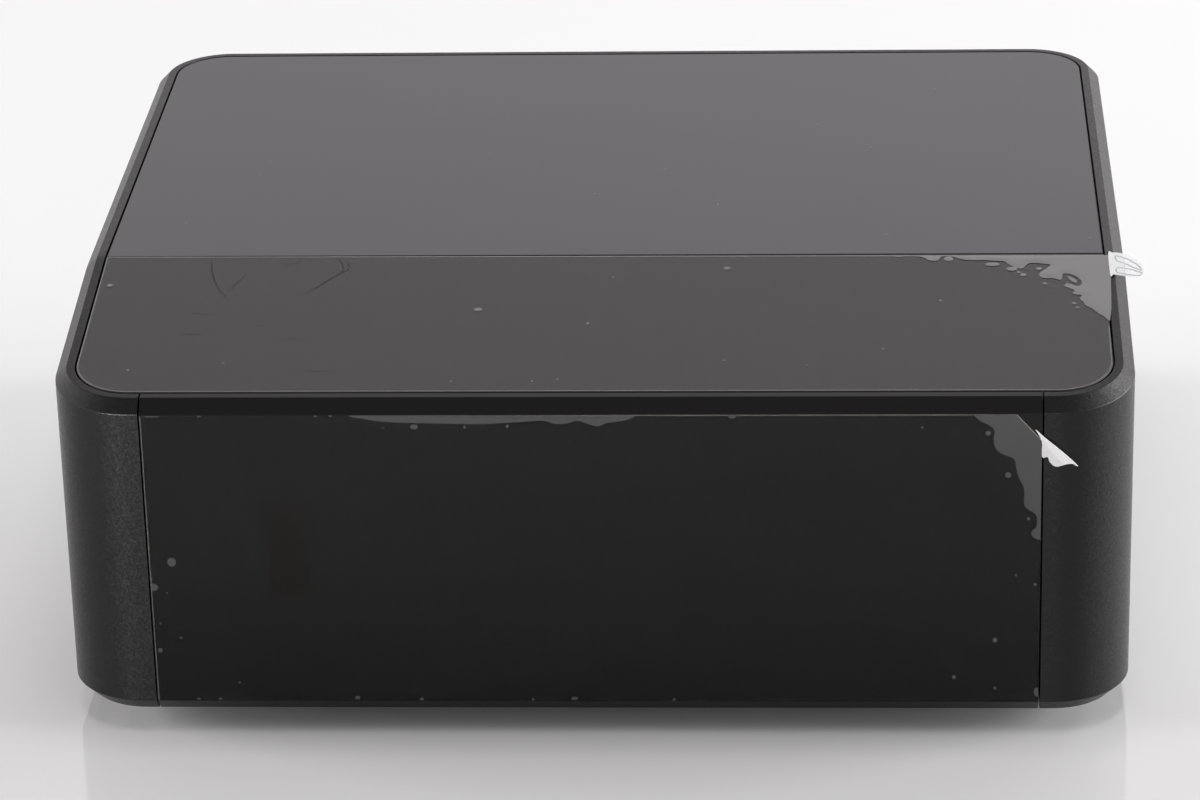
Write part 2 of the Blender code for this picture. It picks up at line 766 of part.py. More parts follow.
def board_posts():
    """Place of each post under the boards, and whether a screw goes into it."""
    main_low = BOARD_BACK_Y - MAIN_BOARD_DEPTH + POST_INSET
    power_low = BOARD_BACK_Y - POWER_BOARD_DEPTH + POST_INSET
    high = BOARD_BACK_Y - MAIN_BOARD_DEPTH / 2
    left = MAIN_BOARD_X - MAIN_BOARD_WIDTH / 2 + POST_INSET
    right = MAIN_BOARD_X + MAIN_BOARD_WIDTH / 2 - POST_INSET
    power_left = POWER_BOARD_X - POWER_BOARD_WIDTH / 2 + POST_INSET
    power_right = POWER_BOARD_X + POWER_BOARD_WIDTH / 2 - POST_INSET
    return [
        ("main_board_screw_1", left, main_low),
        ("main_board_screw_2", right, main_low),
        ("main_board_screw_3", left, high),
        ("main_board_screw_4", right, high),
        ("power_board_screw_1", power_right, power_low),
        ("power_board_screw_2", power_left, high),
    ]


def foot_places():
    x = SIDE_X - FOOT_INSET
    y = BACK_Y - FOOT_INSET
    return [("foot_" + name, side * x, end * y) for name, side, end in corner_places()]


def base_plate():
    """Sheet steel floor with pressed posts, vent slots and holes for the feet and screws."""
    outline = closed_path(FLANGE_INSET + FIT)
    base = place("base_plate", prism_z(bmesh.new(), outline, BASE_BOTTOM, BASE_TOP), SHEET_STEEL)
    posts = bmesh.new()
    post_top = BASE_TOP + POST_HEIGHT
    for _, x, y in board_posts():
        prism_z(posts, circle(POST_RADIUS, SMALL_ROUND_STEPS, x, y), BASE_TOP - POST_SINK, post_top)
    add(base, posts, "base_posts")
    holes = bmesh.new()
    bottom = BASE_BOTTOM - CUT_OVERRUN
    top = BASE_TOP + CUT_OVERRUN
    for _, x, y in board_posts():
        ring = circle(BOARD_SCREW_RADIUS + FIT, SMALL_ROUND_STEPS, x, y)
        prism_z(holes, ring, bottom, post_top + CUT_OVERRUN)
    for _, x, y in foot_places():
        prism_z(holes, circle(FOOT_PEG_RADIUS + FIT, SMALL_ROUND_STEPS, x, y), bottom, top)
    for _, x, y in boss_places():
        prism_z(holes, circle(BASE_SCREW_RADIUS + FIT, SMALL_ROUND_STEPS, x, y), bottom, top)
    for x in (POWER_BOARD_X, MAIN_BOARD_X):
        for i in range(VENT_SLOTS):
            y = (i - (VENT_SLOTS - 1) / 2) * VENT_SLOT_PITCH
            slot = rounded(VENT_SLOT_LENGTH, VENT_SLOT_WIDTH, VENT_SLOT_WIDTH / 2, FILLET_STEPS, x, y)
            prism_z(holes, slot, bottom, top)
    cut(base, holes, "base_holes")
    return base


def feet():
    """Rubber feet, each pushed into the base plate by its peg."""
    shoulder = BASE_BOTTOM - FIT
    tip = BASE_TOP + FOOT_PEG_HEIGHT
    profile = [
        (0.0, FOOT_HOLLOW_DEPTH),
        (FOOT_HOLLOW_RADIUS, FOOT_HOLLOW_DEPTH),
        (FOOT_HOLLOW_RADIUS, 0.0),
        (FOOT_RADIUS - FOOT_BEVEL, 0.0),
        (FOOT_RADIUS, FOOT_BEVEL),
        (FOOT_RADIUS, shoulder),
        (FOOT_PEG_RADIUS, shoulder),
        (FOOT_PEG_RADIUS, tip - FOOT_BEVEL),
        (FOOT_PEG_RADIUS - FOOT_BEVEL, tip),
        (0.0, tip),
    ]
    places = foot_places()
    name, x, y = places[0]
    first = place(name, turned(bmesh.new(), profile, ROUND_STEPS), RUBBER, (x, y, 0.0), smooth=True)
    for name, x, y in places[1:]:
        place_mesh(name, first.data, (x, y, 0.0))


def screw_profile(radius, length):
    """Pan head above its seat at zero, with a socket, and the shank below."""
    head = SCREW_HEAD_HEIGHT
    return [
        (0.0, -length),
        (radius, -length),
        (radius, 0.0),
        (SCREW_HEAD_RADIUS, 0.0),
        (SCREW_HEAD_RADIUS, head - SCREW_HEAD_BEVEL),
        (SCREW_HEAD_RADIUS - SCREW_HEAD_BEVEL, head),
        (SCREW_SOCKET_RADIUS, head),
        (SCREW_SOCKET_RADIUS, head - SCREW_SOCKET_DEPTH),
        (0.0, head - SCREW_SOCKET_DEPTH),
    ]


def screws():
    """Base screws point up, board screws point down and panel screws point forward."""
    under = BASE_BOTTOM - FIT
    profile = screw_profile(BASE_SCREW_RADIUS, BASE_SCREW_LENGTH)
    upward = turned(bmesh.new(), [(r, -z) for r, z in profile], SMALL_ROUND_STEPS)
    shared = None
    for name, x, y in boss_places():
        at = (x, y, under)
        if shared is None:
            shared = place(name, upward, BLACK_STEEL, at, smooth=True).data
        else:
            place_mesh(name, shared, at)

    profile = screw_profile(BOARD_SCREW_RADIUS, BOARD_SCREW_LENGTH)
    downward = turned(bmesh.new(), profile, SMALL_ROUND_STEPS)
    shared = None
    for name, x, y in board_posts():
        at = (x, y, BOARD_TOP + FIT)
        if shared is None:
            shared = place(name, downward, BRIGHT_METAL, at, smooth=True).data
        else:
            place_mesh(name, shared, at)

    profile = screw_profile(PANEL_SCREW_RADIUS, PANEL_SCREW_LENGTH)
    forward = turned(bmesh.new(), profile, SMALL_ROUND_STEPS, "Y")
    shared = None
    for name, x, z in panel_screw_places():
        at = (x, PANEL_OUT + FIT, z)
        if shared is None:
            shared = place(name, forward, BLACK_STEEL, at, smooth=True).data
        else:
            place_mesh(name, shared, at)


def columns():
    """Centre of each connector column, spread evenly from the panel's outer end to the power board."""
    widths = [
        ("line", JACK_BLOCK_WIDTH),
        ("digital", JACK_BLOCK_WIDTH),
        ("optical", OPTICAL_WIDTH),
        ("minijack", MINIJACK_BLOCK_WIDTH),
        ("video", VIDEO_WIDTH),
        ("usb", USB_WIDTH),
        ("network", NETWORK_WIDTH),
        ("setup", SETUP_SWITCH_WIDTH),
    ]
    inner_end = MAIN_BOARD_X - MAIN_BOARD_WIDTH / 2
    spare = CONNECTOR_EDGE_X - inner_end - sum(width for _, width in widths)
    gap = spare / len(widths)
    centres = {}
    edge = CONNECTOR_EDGE_X
    for name, width in widths:
        centres[name] = edge - width / 2
        edge -= width + gap
    return centres


def inlet_place():
    x = -(WINDOW_X - WINDOW_LEDGE - INLET_SIDE) + INLET_WIDTH / 2
    return x, PART_BOTTOM + INLET_RISE + INLET_HEIGHT / 2


def rocker_place():
    x = inlet_place()[0] + INLET_WIDTH / 2 + ROCKER_GAP + ROCKER_FRAME_WIDTH / 2
    return x, PART_BOTTOM + ROCKER_FRAME_HEIGHT / 2


def video_outline(grow, x, low):
    """D-shaped outline of the video socket, grown or shrunk evenly."""
    half = VIDEO_WIDTH / 2 + grow
    bottom = low - grow
    top = low + VIDEO_HEIGHT + grow
    return [
        (x - half, top),
        (x - half, bottom + VIDEO_SLANT),
        (x - half + VIDEO_SLANT, bottom),
        (x + half - VIDEO_SLANT, bottom),
        (x + half, bottom + VIDEO_SLANT),
        (x + half, top),
    ]


def rectangle(cx, width, low, high):
    half = width / 2
    return [(cx - half, low), (cx + half, low), (cx + half, high), (cx - half, high)]


def rear_panel():
    """Connector panel: one cut-out with an even clearance round each connector."""
    centre = columns()
    window_z = (WINDOW_BOTTOM + WINDOW_TOP) / 2
    wide = 2 * (WINDOW_X - FIT)
    outline = rounded(wide, WINDOW_HEIGHT - 2 * FIT, WINDOW_RADIUS - FIT, FILLET_STEPS, cy=window_z)
    panel = place("rear_panel", prism_y(bmesh.new(), outline, PANEL_IN, PANEL_OUT), BLACK_STEEL)
    low = PART_BOTTOM
    outlines = []
    for name in ("line", "digital"):
        for rise in (JACK_RISE, JACK_RISE + JACK_PITCH):
            outlines.append(circle(JACK_RADIUS + FIT, ROUND_STEPS, centre[name], low + rise))
    for rise in (MINIJACK_RISE, MINIJACK_RISE + MINIJACK_PITCH):
        outlines.append(circle(MINIJACK_RADIUS + FIT, ROUND_STEPS, centre["minijack"], low + rise))
    top = low + OPTICAL_HEIGHT + FIT
    outlines.append(rectangle(centre["optical"], OPTICAL_WIDTH + 2 * FIT, low - FIT, top))
    outlines.append(video_outline(FIT, centre["video"], low + VIDEO_RISE))
    bottom = low + USB_RISE
    top = bottom + USB_HEIGHT
    outlines.append(rectangle(centre["usb"], USB_WIDTH + 2 * FIT, bottom - FIT, top + FIT))
    top = low + NETWORK_HEIGHT + FIT
    outlines.append(rectangle(centre["network"], NETWORK_WIDTH + 2 * FIT, low - FIT, top))
    outlines.append(circle(SETUP_RADIUS + FIT, SMALL_ROUND_STEPS, centre["setup"], low + SETUP_RISE))
    x, z = inlet_place()
    wide = INLET_WIDTH + 2 * FIT
    outlines.append(rounded(wide, INLET_HEIGHT + 2 * FIT, INLET_RADIUS + FIT, SOCKET_CORNER_STEPS, x, z))
    x, z = rocker_place()
    half = ROCKER_FRAME_HEIGHT / 2 + FIT
    outlines.append(rectangle(x, ROCKER_FRAME_WIDTH + 2 * FIT, z - half, z + half))
    outlines += panel_screw_holes()
    holes = bmesh.new()
    for shape in outlines:
        prism_y(holes, shape, PANEL_IN - CUT_OVERRUN, PANEL_OUT + CUT_OVERRUN)
    cut(panel, holes, "panel_holes")
    return panel


def phono_jacks():
    """Two upright blocks on the main board, with a turned barrel at each of two heights."""
    centre = columns()
    length = PANEL_THICKNESS + JACK_REACH
    profile = [
        (0.0, 0.0),
        (JACK_RADIUS, 0.0),
        (JACK_RADIUS, length - JACK_TIP_BEVEL),
        (JACK_RADIUS - JACK_TIP_BEVEL, length),
        (JACK_INSERT_RADIUS, length),
        (JACK_INSERT_RADIUS, length - JACK_INSERT_RECESS),
        (JACK_BORE_RADIUS, length - JACK_INSERT_RECESS),
        (JACK_BORE_RADIUS, length - JACK_BORE_DEPTH),
        (0.0, length - JACK_BORE_DEPTH),
    ]
    shared = None
    rows = [("line", "line_jack_block", "line_out_left", "line_out_right")]
    rows += [("digital", "digital_jack_block", "subwoofer_out", "coaxial_out")]
    for column, block, upper, lower in rows:
        x = centre[column]
        base = box(
            bmesh.new(),
            (x - JACK_BLOCK_WIDTH / 2, CONNECTOR_FACE - JACK_BLOCK_DEPTH, PART_BOTTOM),
            (x + JACK_BLOCK_WIDTH / 2, CONNECTOR_FACE, PART_BOTTOM + JACK_BLOCK_HEIGHT),
        )
        item = place(block, base, BLACK_PLASTIC)
        bevel = item.modifiers.new("edges", "BEVEL")
        bevel.width = JACK_BLOCK_BEVEL
        bevel.segments = 1
        for name, rise in ((lower, JACK_RISE), (upper, JACK_RISE + JACK_PITCH)):
            at = (x, PANEL_IN, PART_BOTTOM + rise)
            if shared is None:
                barrel = turned(bmesh.new(), profile, ROUND_STEPS, "Y")
                shared = place(name, barrel, GOLD_METAL, at, smooth=True).data
            else:
                place_mesh(name, shared, at)


def minijacks():
    """One upright block with two 3.5 mm jacks, each with a bright sleeve in the panel."""
    x = columns()["minijack"]
    base = box(
        bmesh.new(),
        (x - MINIJACK_BLOCK_WIDTH / 2, CONNECTOR_FACE - MINIJACK_BLOCK_DEPTH, PART_BOTTOM),
        (x + MINIJACK_BLOCK_WIDTH / 2, CONNECTOR_FACE, PART_BOTTOM + MINIJACK_BLOCK_HEIGHT),
    )
    block = place("minijack_block", base, BLACK_PLASTIC)
    bores = bmesh.new()
    profile = [
        (MINIJACK_BORE_RADIUS, 0.0),
        (MINIJACK_RADIUS, 0.0),
        (MINIJACK_RADIUS, PANEL_THICKNESS + MINIJACK_REACH),
        (MINIJACK_BORE_RADIUS, PANEL_THICKNESS + MINIJACK_REACH),
    ]
    shared = None
    for name, rise in (("trigger_out", MINIJACK_RISE), ("line_in", MINIJACK_RISE + MINIJACK_PITCH)):
        z = PART_BOTTOM + rise
        bore = circle(MINIJACK_BORE_RADIUS, SMALL_ROUND_STEPS, x, z)
        prism_y(bores, bore, CONNECTOR_FACE - MINIJACK_BORE_DEPTH, CONNECTOR_FACE + CUT_OVERRUN)
        if shared is None:
            ring = turned(bmesh.new(), profile, ROUND_STEPS, "Y")
            shared = place(name, ring, BRIGHT_METAL, (x, PANEL_IN, z), smooth=True).data
        else:
            place_mesh(name, shared, (x, PANEL_IN, z))
    cut(block, bores, "minijack_bores")


def optical_socket():
    """Square socket with its shutter hung inside the mouth."""
    x = columns()["optical"]
    mouth = PANEL_OUT + OPTICAL_PROUD
    low = (x - OPTICAL_WIDTH / 2, mouth - OPTICAL_DEPTH, PART_BOTTOM)
    high = (x + OPTICAL_WIDTH / 2, mouth, PART_BOTTOM + OPTICAL_HEIGHT)
    socket = place("optical_socket", box(bmesh.new(), low, high), BLACK_PLASTIC)
    cavity_low = (low[0] + OPTICAL_WALL, mouth - OPTICAL_CAVITY_DEPTH, low[2] + OPTICAL_WALL)
    cavity_high = (high[0] - OPTICAL_WALL, mouth + CUT_OVERRUN, high[2] - OPTICAL_WALL)
    cut(socket, box(bmesh.new(), cavity_low, cavity_high), "optical_cavity")

    width = cavity_high[0] - cavity_low[0] - 2 * SHUTTER_SIDE_GAP
    ceiling_gap = FIT + SHUTTER_HINGE_RADIUS
    pivot = (x, mouth - SHUTTER_SETBACK - SHUTTER_HINGE_RADIUS, cavity_high[2] - ceiling_gap)
    drop = pivot[2] - cavity_low[2] - SHUTTER_FOOT_GAP
    front = SHUTTER_HINGE_RADIUS
    back = SHUTTER_HINGE_RADIUS - SHUTTER_THICKNESS
    outline = [(front, 0.0)]
    outline += quarter(0.0, 0.0, SHUTTER_HINGE_RADIUS, 0.0, FILLET_STEPS)[1:]
    outline += quarter(0.0, 0.0, SHUTTER_HINGE_RADIUS, 90.0, FILLET_STEPS)[1:]
    outline += [(back, -SHUTTER_HINGE_RADIUS), (back, -drop), (front, -drop)]
    flap = prism_x(bmesh.new(), outline, -width / 2, width / 2)
    place("optical_shutter", flap, BLACK_PLASTIC, pivot)


def shell_sockets():
    """Video and USB sockets: thin metal shells, each with a contact tongue on its floor."""
    centre = columns()
    mouth = PANEL_OUT + SHELL_PROUD

    x = centre["video"]
    low = PART_BOTTOM + VIDEO_RISE
    back = mouth - VIDEO_DEPTH
    shell = video_outline(0.0, x, low)
    video = place("video_socket", prism_y(bmesh.new(), shell, back, mouth), BRIGHT_METAL)
    hollow = video_outline(-VIDEO_WALL, x, low)
    cut(video, prism_y(bmesh.new(), hollow, back + SHELL_FLOOR, mouth + CUT_OVERRUN), "video_hollow")
    middle = low + VIDEO_HEIGHT / 2
    tongue = rectangle(x, VIDEO_TONGUE_WIDTH, middle, middle + VIDEO_TONGUE_HEIGHT)
    add(video, prism_y(bmesh.new(), tongue, back + SHELL_FLOOR / 2, mouth - TONGUE_SETBACK), "video_tongue")
    legs = rectangle(x, VIDEO_TONGUE_WIDTH, PART_BOTTOM, low + VIDEO_WALL / 2)
    add(video, prism_y(bmesh.new(), legs, back, back + SHELL_FLOOR), "video_legs")

    x = centre["usb"]
    low = PART_BOTTOM + USB_RISE
    back = mouth - USB_DEPTH
    shell = rectangle(x, USB_WIDTH, low, low + USB_HEIGHT)
    usb = place("usb_socket", prism_y(bmesh.new(), shell, back, mouth), BRIGHT_METAL)
    hollow = rectangle(x, USB_WIDTH - 2 * USB_WALL, low + USB_WALL, low + USB_HEIGHT - USB_WALL)
    cut(usb, prism_y(bmesh.new(), hollow, back + SHELL_FLOOR, mouth + CUT_OVERRUN), "usb_hollow")
    bottom = low + USB_TONGUE_RISE
    tongue = rectangle(x, USB_TONGUE_WIDTH, bottom, bottom + USB_TONGUE_HEIGHT)
    add(usb, prism_y(bmesh.new(), tongue, back + SHELL_FLOOR / 2, mouth - TONGUE_SETBACK), "usb_tongue")
    legs = rectangle(x, USB_TONGUE_WIDTH, PART_BOTTOM, low + USB_WALL / 2)
    add(usb, prism_y(bmesh.new(), legs, back, back + SHELL_FLOOR), "usb_legs")


def network_socket():
    """Network socket with a latch notch below its mouth."""
    x = columns()["network"]
    mouth = PANEL_OUT + SHELL_PROUD
    body = rectangle(x, NETWORK_WIDTH, PART_BOTTOM, PART_BOTTOM + NETWORK_HEIGHT)
    socket = prism_y(bmesh.new(), body, mouth - NETWORK_DEPTH, mouth)
    socket = place("network_socket", socket, BRIGHT_METAL)
    low = PART_BOTTOM + NETWORK_MOUTH_RISE
    half = NETWORK_MOUTH_WIDTH / 2
    notch = NETWORK_NOTCH_WIDTH / 2
    shape = [
        (x - half, low + NETWORK_MOUTH_HEIGHT),
        (x - half, low),
        (x - notch, low),
        (x - notch, low - NETWORK_NOTCH_HEIGHT),
        (x + notch, low - NETWORK_NOTCH_HEIGHT),
        (x + notch, low),
        (x + half, low),
        (x + half, low + NETWORK_MOUTH_HEIGHT),
    ]
    hollow = prism_y(bmesh.new(), shape, mouth - NETWORK_CAVITY_DEPTH, mouth + CUT_OVERRUN)
    cut(socket, hollow, "network_hollow")


def setup_button():
    """Push button in the panel and the switch that it presses."""
    x = columns()["setup"]
    z = PART_BOTTOM + SETUP_RISE
    flange = PANEL_IN - FIT
    tip = flange - SETUP_FLANGE_THICKNESS - SETUP_PLUNGER_LENGTH
    profile = [
        (0.0, tip),
        (SETUP_PLUNGER_RADIUS, tip),
        (SETUP_PLUNGER_RADIUS, flange - SETUP_FLANGE_THICKNESS),
        (SETUP_FLANGE_RADIUS, flange - SETUP_FLANGE_THICKNESS),
        (SETUP_FLANGE_RADIUS, flange),
        (SETUP_RADIUS, flange),
        (SETUP_RADIUS, PANEL_OUT + SETUP_PROUD),
        (0.0, PANEL_OUT + SETUP_PROUD),
    ]
    local = [(radius, y - PANEL_OUT) for radius, y in profile]
    button = turned(bmesh.new(), local, SMALL_ROUND_STEPS, "Y")
    place("setup_button", button, BLACK_PLASTIC, (x, PANEL_OUT, z), smooth=True)
    face = tip - SETUP_TRAVEL - FIT
    low = (x - SETUP_SWITCH_WIDTH / 2, face - SETUP_SWITCH_DEPTH, PART_BOTTOM)
    high = (x + SETUP_SWITCH_WIDTH / 2, face, PART_BOTTOM + SETUP_SWITCH_HEIGHT)
    place("setup_switch", box(bmesh.new(), low, high), BLACK_PLASTIC)


def mains_inlet():
    """Two-pin mains inlet on the power board."""
    x, z = inlet_place()
    mouth = PANEL_OUT + INLET_PROUD
    outline = rounded(INLET_WIDTH, INLET_HEIGHT, INLET_RADIUS, SOCKET_CORNER_STEPS, x, z)
    inlet = place("mains_inlet", prism_y(bmesh.new(), outline, mouth - INLET_DEPTH, mouth), BLACK_PLASTIC)
    hollow = rounded(INLET_MOUTH_WIDTH, INLET_MOUTH_HEIGHT, INLET_MOUTH_RADIUS, SOCKET_CORNER_STEPS, x, z)
    floor = mouth - INLET_CAVITY_DEPTH
    cut(inlet, prism_y(bmesh.new(), hollow, floor, mouth + CUT_OVERRUN), "inlet_hollow")
    pins = bmesh.new()
    for side in (-1, 1):
        pin = circle(INLET_PIN_RADIUS, SMALL_ROUND_STEPS, x + side * INLET_PIN_SPACING / 2, z)
        prism_y(pins, pin, (floor + mouth - INLET_DEPTH) / 2, floor + INLET_PIN_LENGTH)
    add(inlet, pins, "inlet_pins")
    foot = rectangle(x, INLET_WIDTH / 2, PART_BOTTOM, z - INLET_MOUTH_HEIGHT / 2 - FIT)
    add(inlet, prism_y(bmesh.new(), foot, mouth - INLET_DEPTH, floor), "inlet_foot")


def power_rocker():
    """Rocker with round ends that turn inside the straight walls of its frame, shown switched off."""
    x, z = rocker_place()
    mouth = PANEL_OUT + ROCKER_FRAME_PROUD
    half = ROCKER_FRAME_HEIGHT / 2
    outline = rectangle(x, ROCKER_FRAME_WIDTH, z - half, z + half)
    frame = prism_y(bmesh.new(), outline, mouth - ROCKER_FRAME_DEPTH, mouth)
    frame = place("rocker_frame", frame, BLACK_PLASTIC)
    half = ROCKER_MOUTH_HEIGHT / 2
    hollow = rectangle(x, ROCKER_MOUTH_WIDTH, z - half, z + half)
    hollow = prism_y(bmesh.new(), hollow, mouth - ROCKER_CAVITY_DEPTH, mouth + CUT_OVERRUN)
    cut(frame, hollow, "rocker_hollow")

    radius = half - FIT
    tilt = math.radians(ROCKER_TILT_DEGREES)
    heart = ROCKER_PIVOT_SETBACK
    end_y = heart + radius * math.sin(tilt)
    high_angle = math.asin(min(end_y / radius, 1.0))
    low_angle = -math.asin(min(ROCKER_HEART_DEPTH / radius, 1.0))
    arc = []
    for i in range(ROCKER_ARC_STEPS + 1):
        angle = high_angle + (low_angle - high_angle) * i / ROCKER_ARC_STEPS
        arc.append((radius * math.sin(angle), radius * math.cos(angle)))
    profile = [(heart, 0.0)] + arc + [(y, -z) for y, z in reversed(arc)]
    turn = -tilt
    tilted = []
    for y, up in profile:
        tilted.append((y * math.cos(turn) - up * math.sin(turn), y * math.sin(turn) + up * math.cos(turn)))
    width = ROCKER_MOUTH_WIDTH / 2 - FIT
    rocker = prism_x(bmesh.new(), tilted, -width, width)
    place("power_rocker", rocker, BLACK_PLASTIC, (x, mouth - ROCKER_PIVOT_SETBACK, z))


def boards():
    """Main board and power board on the base plate's posts."""
    shapes = [
        ("main_board", MAIN_BOARD_X, MAIN_BOARD_WIDTH, MAIN_BOARD_DEPTH),
        ("power_board", POWER_BOARD_X, POWER_BOARD_WIDTH, POWER_BOARD_DEPTH),
    ]
    for name, x, width, depth in shapes:
        low = (x - width / 2, BOARD_BACK_Y - depth, BOARD_BOTTOM)
        high = (x + width / 2, BOARD_BACK_Y, BOARD_TOP)
        board = place(name, box(bmesh.new(), low, high), BOARD_GREEN)
        holes = bmesh.new()
        for screw, hole_x, hole_y in board_posts():
            if screw.startswith(name):
                ring = circle(BOARD_SCREW_RADIUS + FIT, SMALL_ROUND_STEPS, hole_x, hole_y)
                prism_z(holes, ring, BOARD_BOTTOM - CUT_OVERRUN, BOARD_TOP + CUT_OVERRUN)
        cut(board, holes, name + "_holes")


def power_parts():
    """Capacitors, transformer and finned heat sink on the power board."""
    groove = CAPACITOR_RADIUS - CAPACITOR_GROOVE
    ring_low = CAPACITOR_HEIGHT - 4 * CAPACITOR_GROOVE
    ring_high = CAPACITOR_HEIGHT - 2 * CAPACITOR_GROOVE
    profile = [
        (0.0, 0.0),
        (CAPACITOR_RADIUS, 0.0),
        (CAPACITOR_RADIUS, ring_low),
        (groove, ring_low + CAPACITOR_GROOVE),
        (CAPACITOR_RADIUS, ring_high),
        (groove, CAPACITOR_HEIGHT),
        (0.0, CAPACITOR_HEIGHT),
    ]
    y = BOARD_BACK_Y - CAPACITOR_REAR
    can = turned(bmesh.new(), profile, ROUND_STEPS)
    at = (POWER_BOARD_X - CAPACITOR_SPREAD, y, PART_BOTTOM)
    first = place("capacitor_1", can, BLACK_PLASTIC, at, smooth=True)
    place_mesh("capacitor_2", first.data, (POWER_BOARD_X + CAPACITOR_SPREAD, y, PART_BOTTOM))

    y = BOARD_BACK_Y - TRANSFORMER_REAR
    x = POWER_BOARD_X
    low = (x - TRANSFORMER_WIDTH / 2, y - TRANSFORMER_DEPTH / 2, PART_BOTTOM)
    high = (x + TRANSFORMER_WIDTH / 2, y + TRANSFORMER_DEPTH / 2, PART_BOTTOM + TRANSFORMER_HEIGHT)
    core = place("transformer", box(bmesh.new(), low, high), COIL_YELLOW)
    coil = rectangle(x, TRANSFORMER_COIL_WIDTH, PART_BOTTOM + FIT, PART_BOTTOM + TRANSFORMER_COIL_HEIGHT)
    front = low[1] - TRANSFORMER_BOBBIN
    rear = high[1] + TRANSFORMER_BOBBIN
    add(core, prism_y(bmesh.new(), coil, front, rear), "transformer_bobbin")

    y = BOARD_BACK_Y - SINK_REAR
    pitch = (SINK_WIDTH - SINK_FIN_THICKNESS) / (SINK_FINS - 1)
    left = x - SINK_WIDTH / 2
    outline = [(left, y), (left + SINK_WIDTH, y)]
    for i in reversed(range(SINK_FINS)):
        fin = left + i * pitch
        outline += [(fin + SINK_FIN_THICKNESS, y + SINK_DEPTH), (fin, y + SINK_DEPTH)]
        if i > 0:
            outline += [(fin, y + SINK_PLATE), (fin - pitch + SINK_FIN_THICKNESS, y + SINK_PLATE)]
    sink = prism_z(bmesh.new(), outline, PART_BOTTOM, PART_BOTTOM + SINK_HEIGHT)
    place("heat_sink", sink, ALUMINIUM)


def power_harness():
    """Low arch of wire from the power board to the main board."""
    start = POWER_BOARD_X + POWER_BOARD_WIDTH / 2 - HARNESS_INSET
    end = MAIN_BOARD_X - MAIN_BOARD_WIDTH / 2 + HARNESS_INSET
    middle = (start + end) / 2
    half = (end - start) / 2
    low = PART_BOTTOM + FIT
    y = BOARD_BACK_Y - MAIN_BOARD_DEPTH + HARNESS_FRONT
    curve = bpy.data.curves.new("power_harness", "CURVE")
    curve.dimensions = "3D"
    curve.bevel_depth = HARNESS_RADIUS
    curve.bevel_resolution = 2
    curve.use_fill_caps = True
    spline = curve.splines.new("POLY")
    spline.points.add(HARNESS_STEPS)
    for i, point in enumerate(spline.points):
        angle = math.pi * i / HARNESS_STEPS
        rise = HARNESS_RISE * math.sin(angle)
        point.co = (middle - half * math.cos(angle), y, low + rise, 1.0)
    curve.materials.append(finish("power_harness", *BLACK_PLASTIC))
    place_mesh("power_harness", curve)


def main_board_parts():
    """Network module with its can, and the converter's shield."""
    x = MAIN_BOARD_X - MAIN_BOARD_WIDTH / 2 + MODULE_SIDE + MODULE_WIDTH / 2
    y = BOARD_BACK_Y - MODULE_REAR
    low = (x - MODULE_WIDTH / 2, y - MODULE_DEPTH / 2, PART_BOTTOM)
    high = (x + MODULE_WIDTH / 2, y + MODULE_DEPTH / 2, PART_BOTTOM + MODULE_BASE)
    module = place("network_module", box(bmesh.new(), low, high), BRIGHT_METAL)
    can_low = (low[0] + MODULE_CAN_INSET, low[1] + MODULE_CAN_INSET, PART_BOTTOM + MODULE_BASE / 2)
    can_high = (high[0] - MODULE_CAN_INSET, high[1] - MODULE_CAN_INSET, high[2] + MODULE_CAN_HEIGHT)
    add(module, box(bmesh.new(), can_low, can_high), "module_can")

    x = MAIN_BOARD_X + MAIN_BOARD_WIDTH / 2 - SHIELD_SIDE
    y = BOARD_BACK_Y - SHIELD_REAR
    low = (x - SHIELD_WIDTH / 2, y - SHIELD_DEPTH / 2, PART_BOTTOM)
    high = (x + SHIELD_WIDTH / 2, y + SHIELD_DEPTH / 2, PART_BOTTOM + SHIELD_HEIGHT)
    shield = place("converter_shield", box(bmesh.new(), low, high), BRIGHT_METAL)
    bevel = shield.modifiers.new("edges", "BEVEL")
    bevel.width = SHIELD_BEVEL
    bevel.segments = 2


def touch_board():
    """Touch sensor board under the glass."""
    half = TOUCH_BOARD_WIDTH / 2
    front = FRONT_Y + TOUCH_BOARD_FRONT
    rear = BEND_Y - TOUCH_BOARD_REAR
    outline = [(-half, front), (half, front), (half, rear), (-half, rear)]
    lift = -PLATE_THICKNESS - FIT
    place("touch_board", sloped_plate(bmesh.new(), outline, lift, TOUCH_BOARD_THICKNESS), BOARD_GREEN)


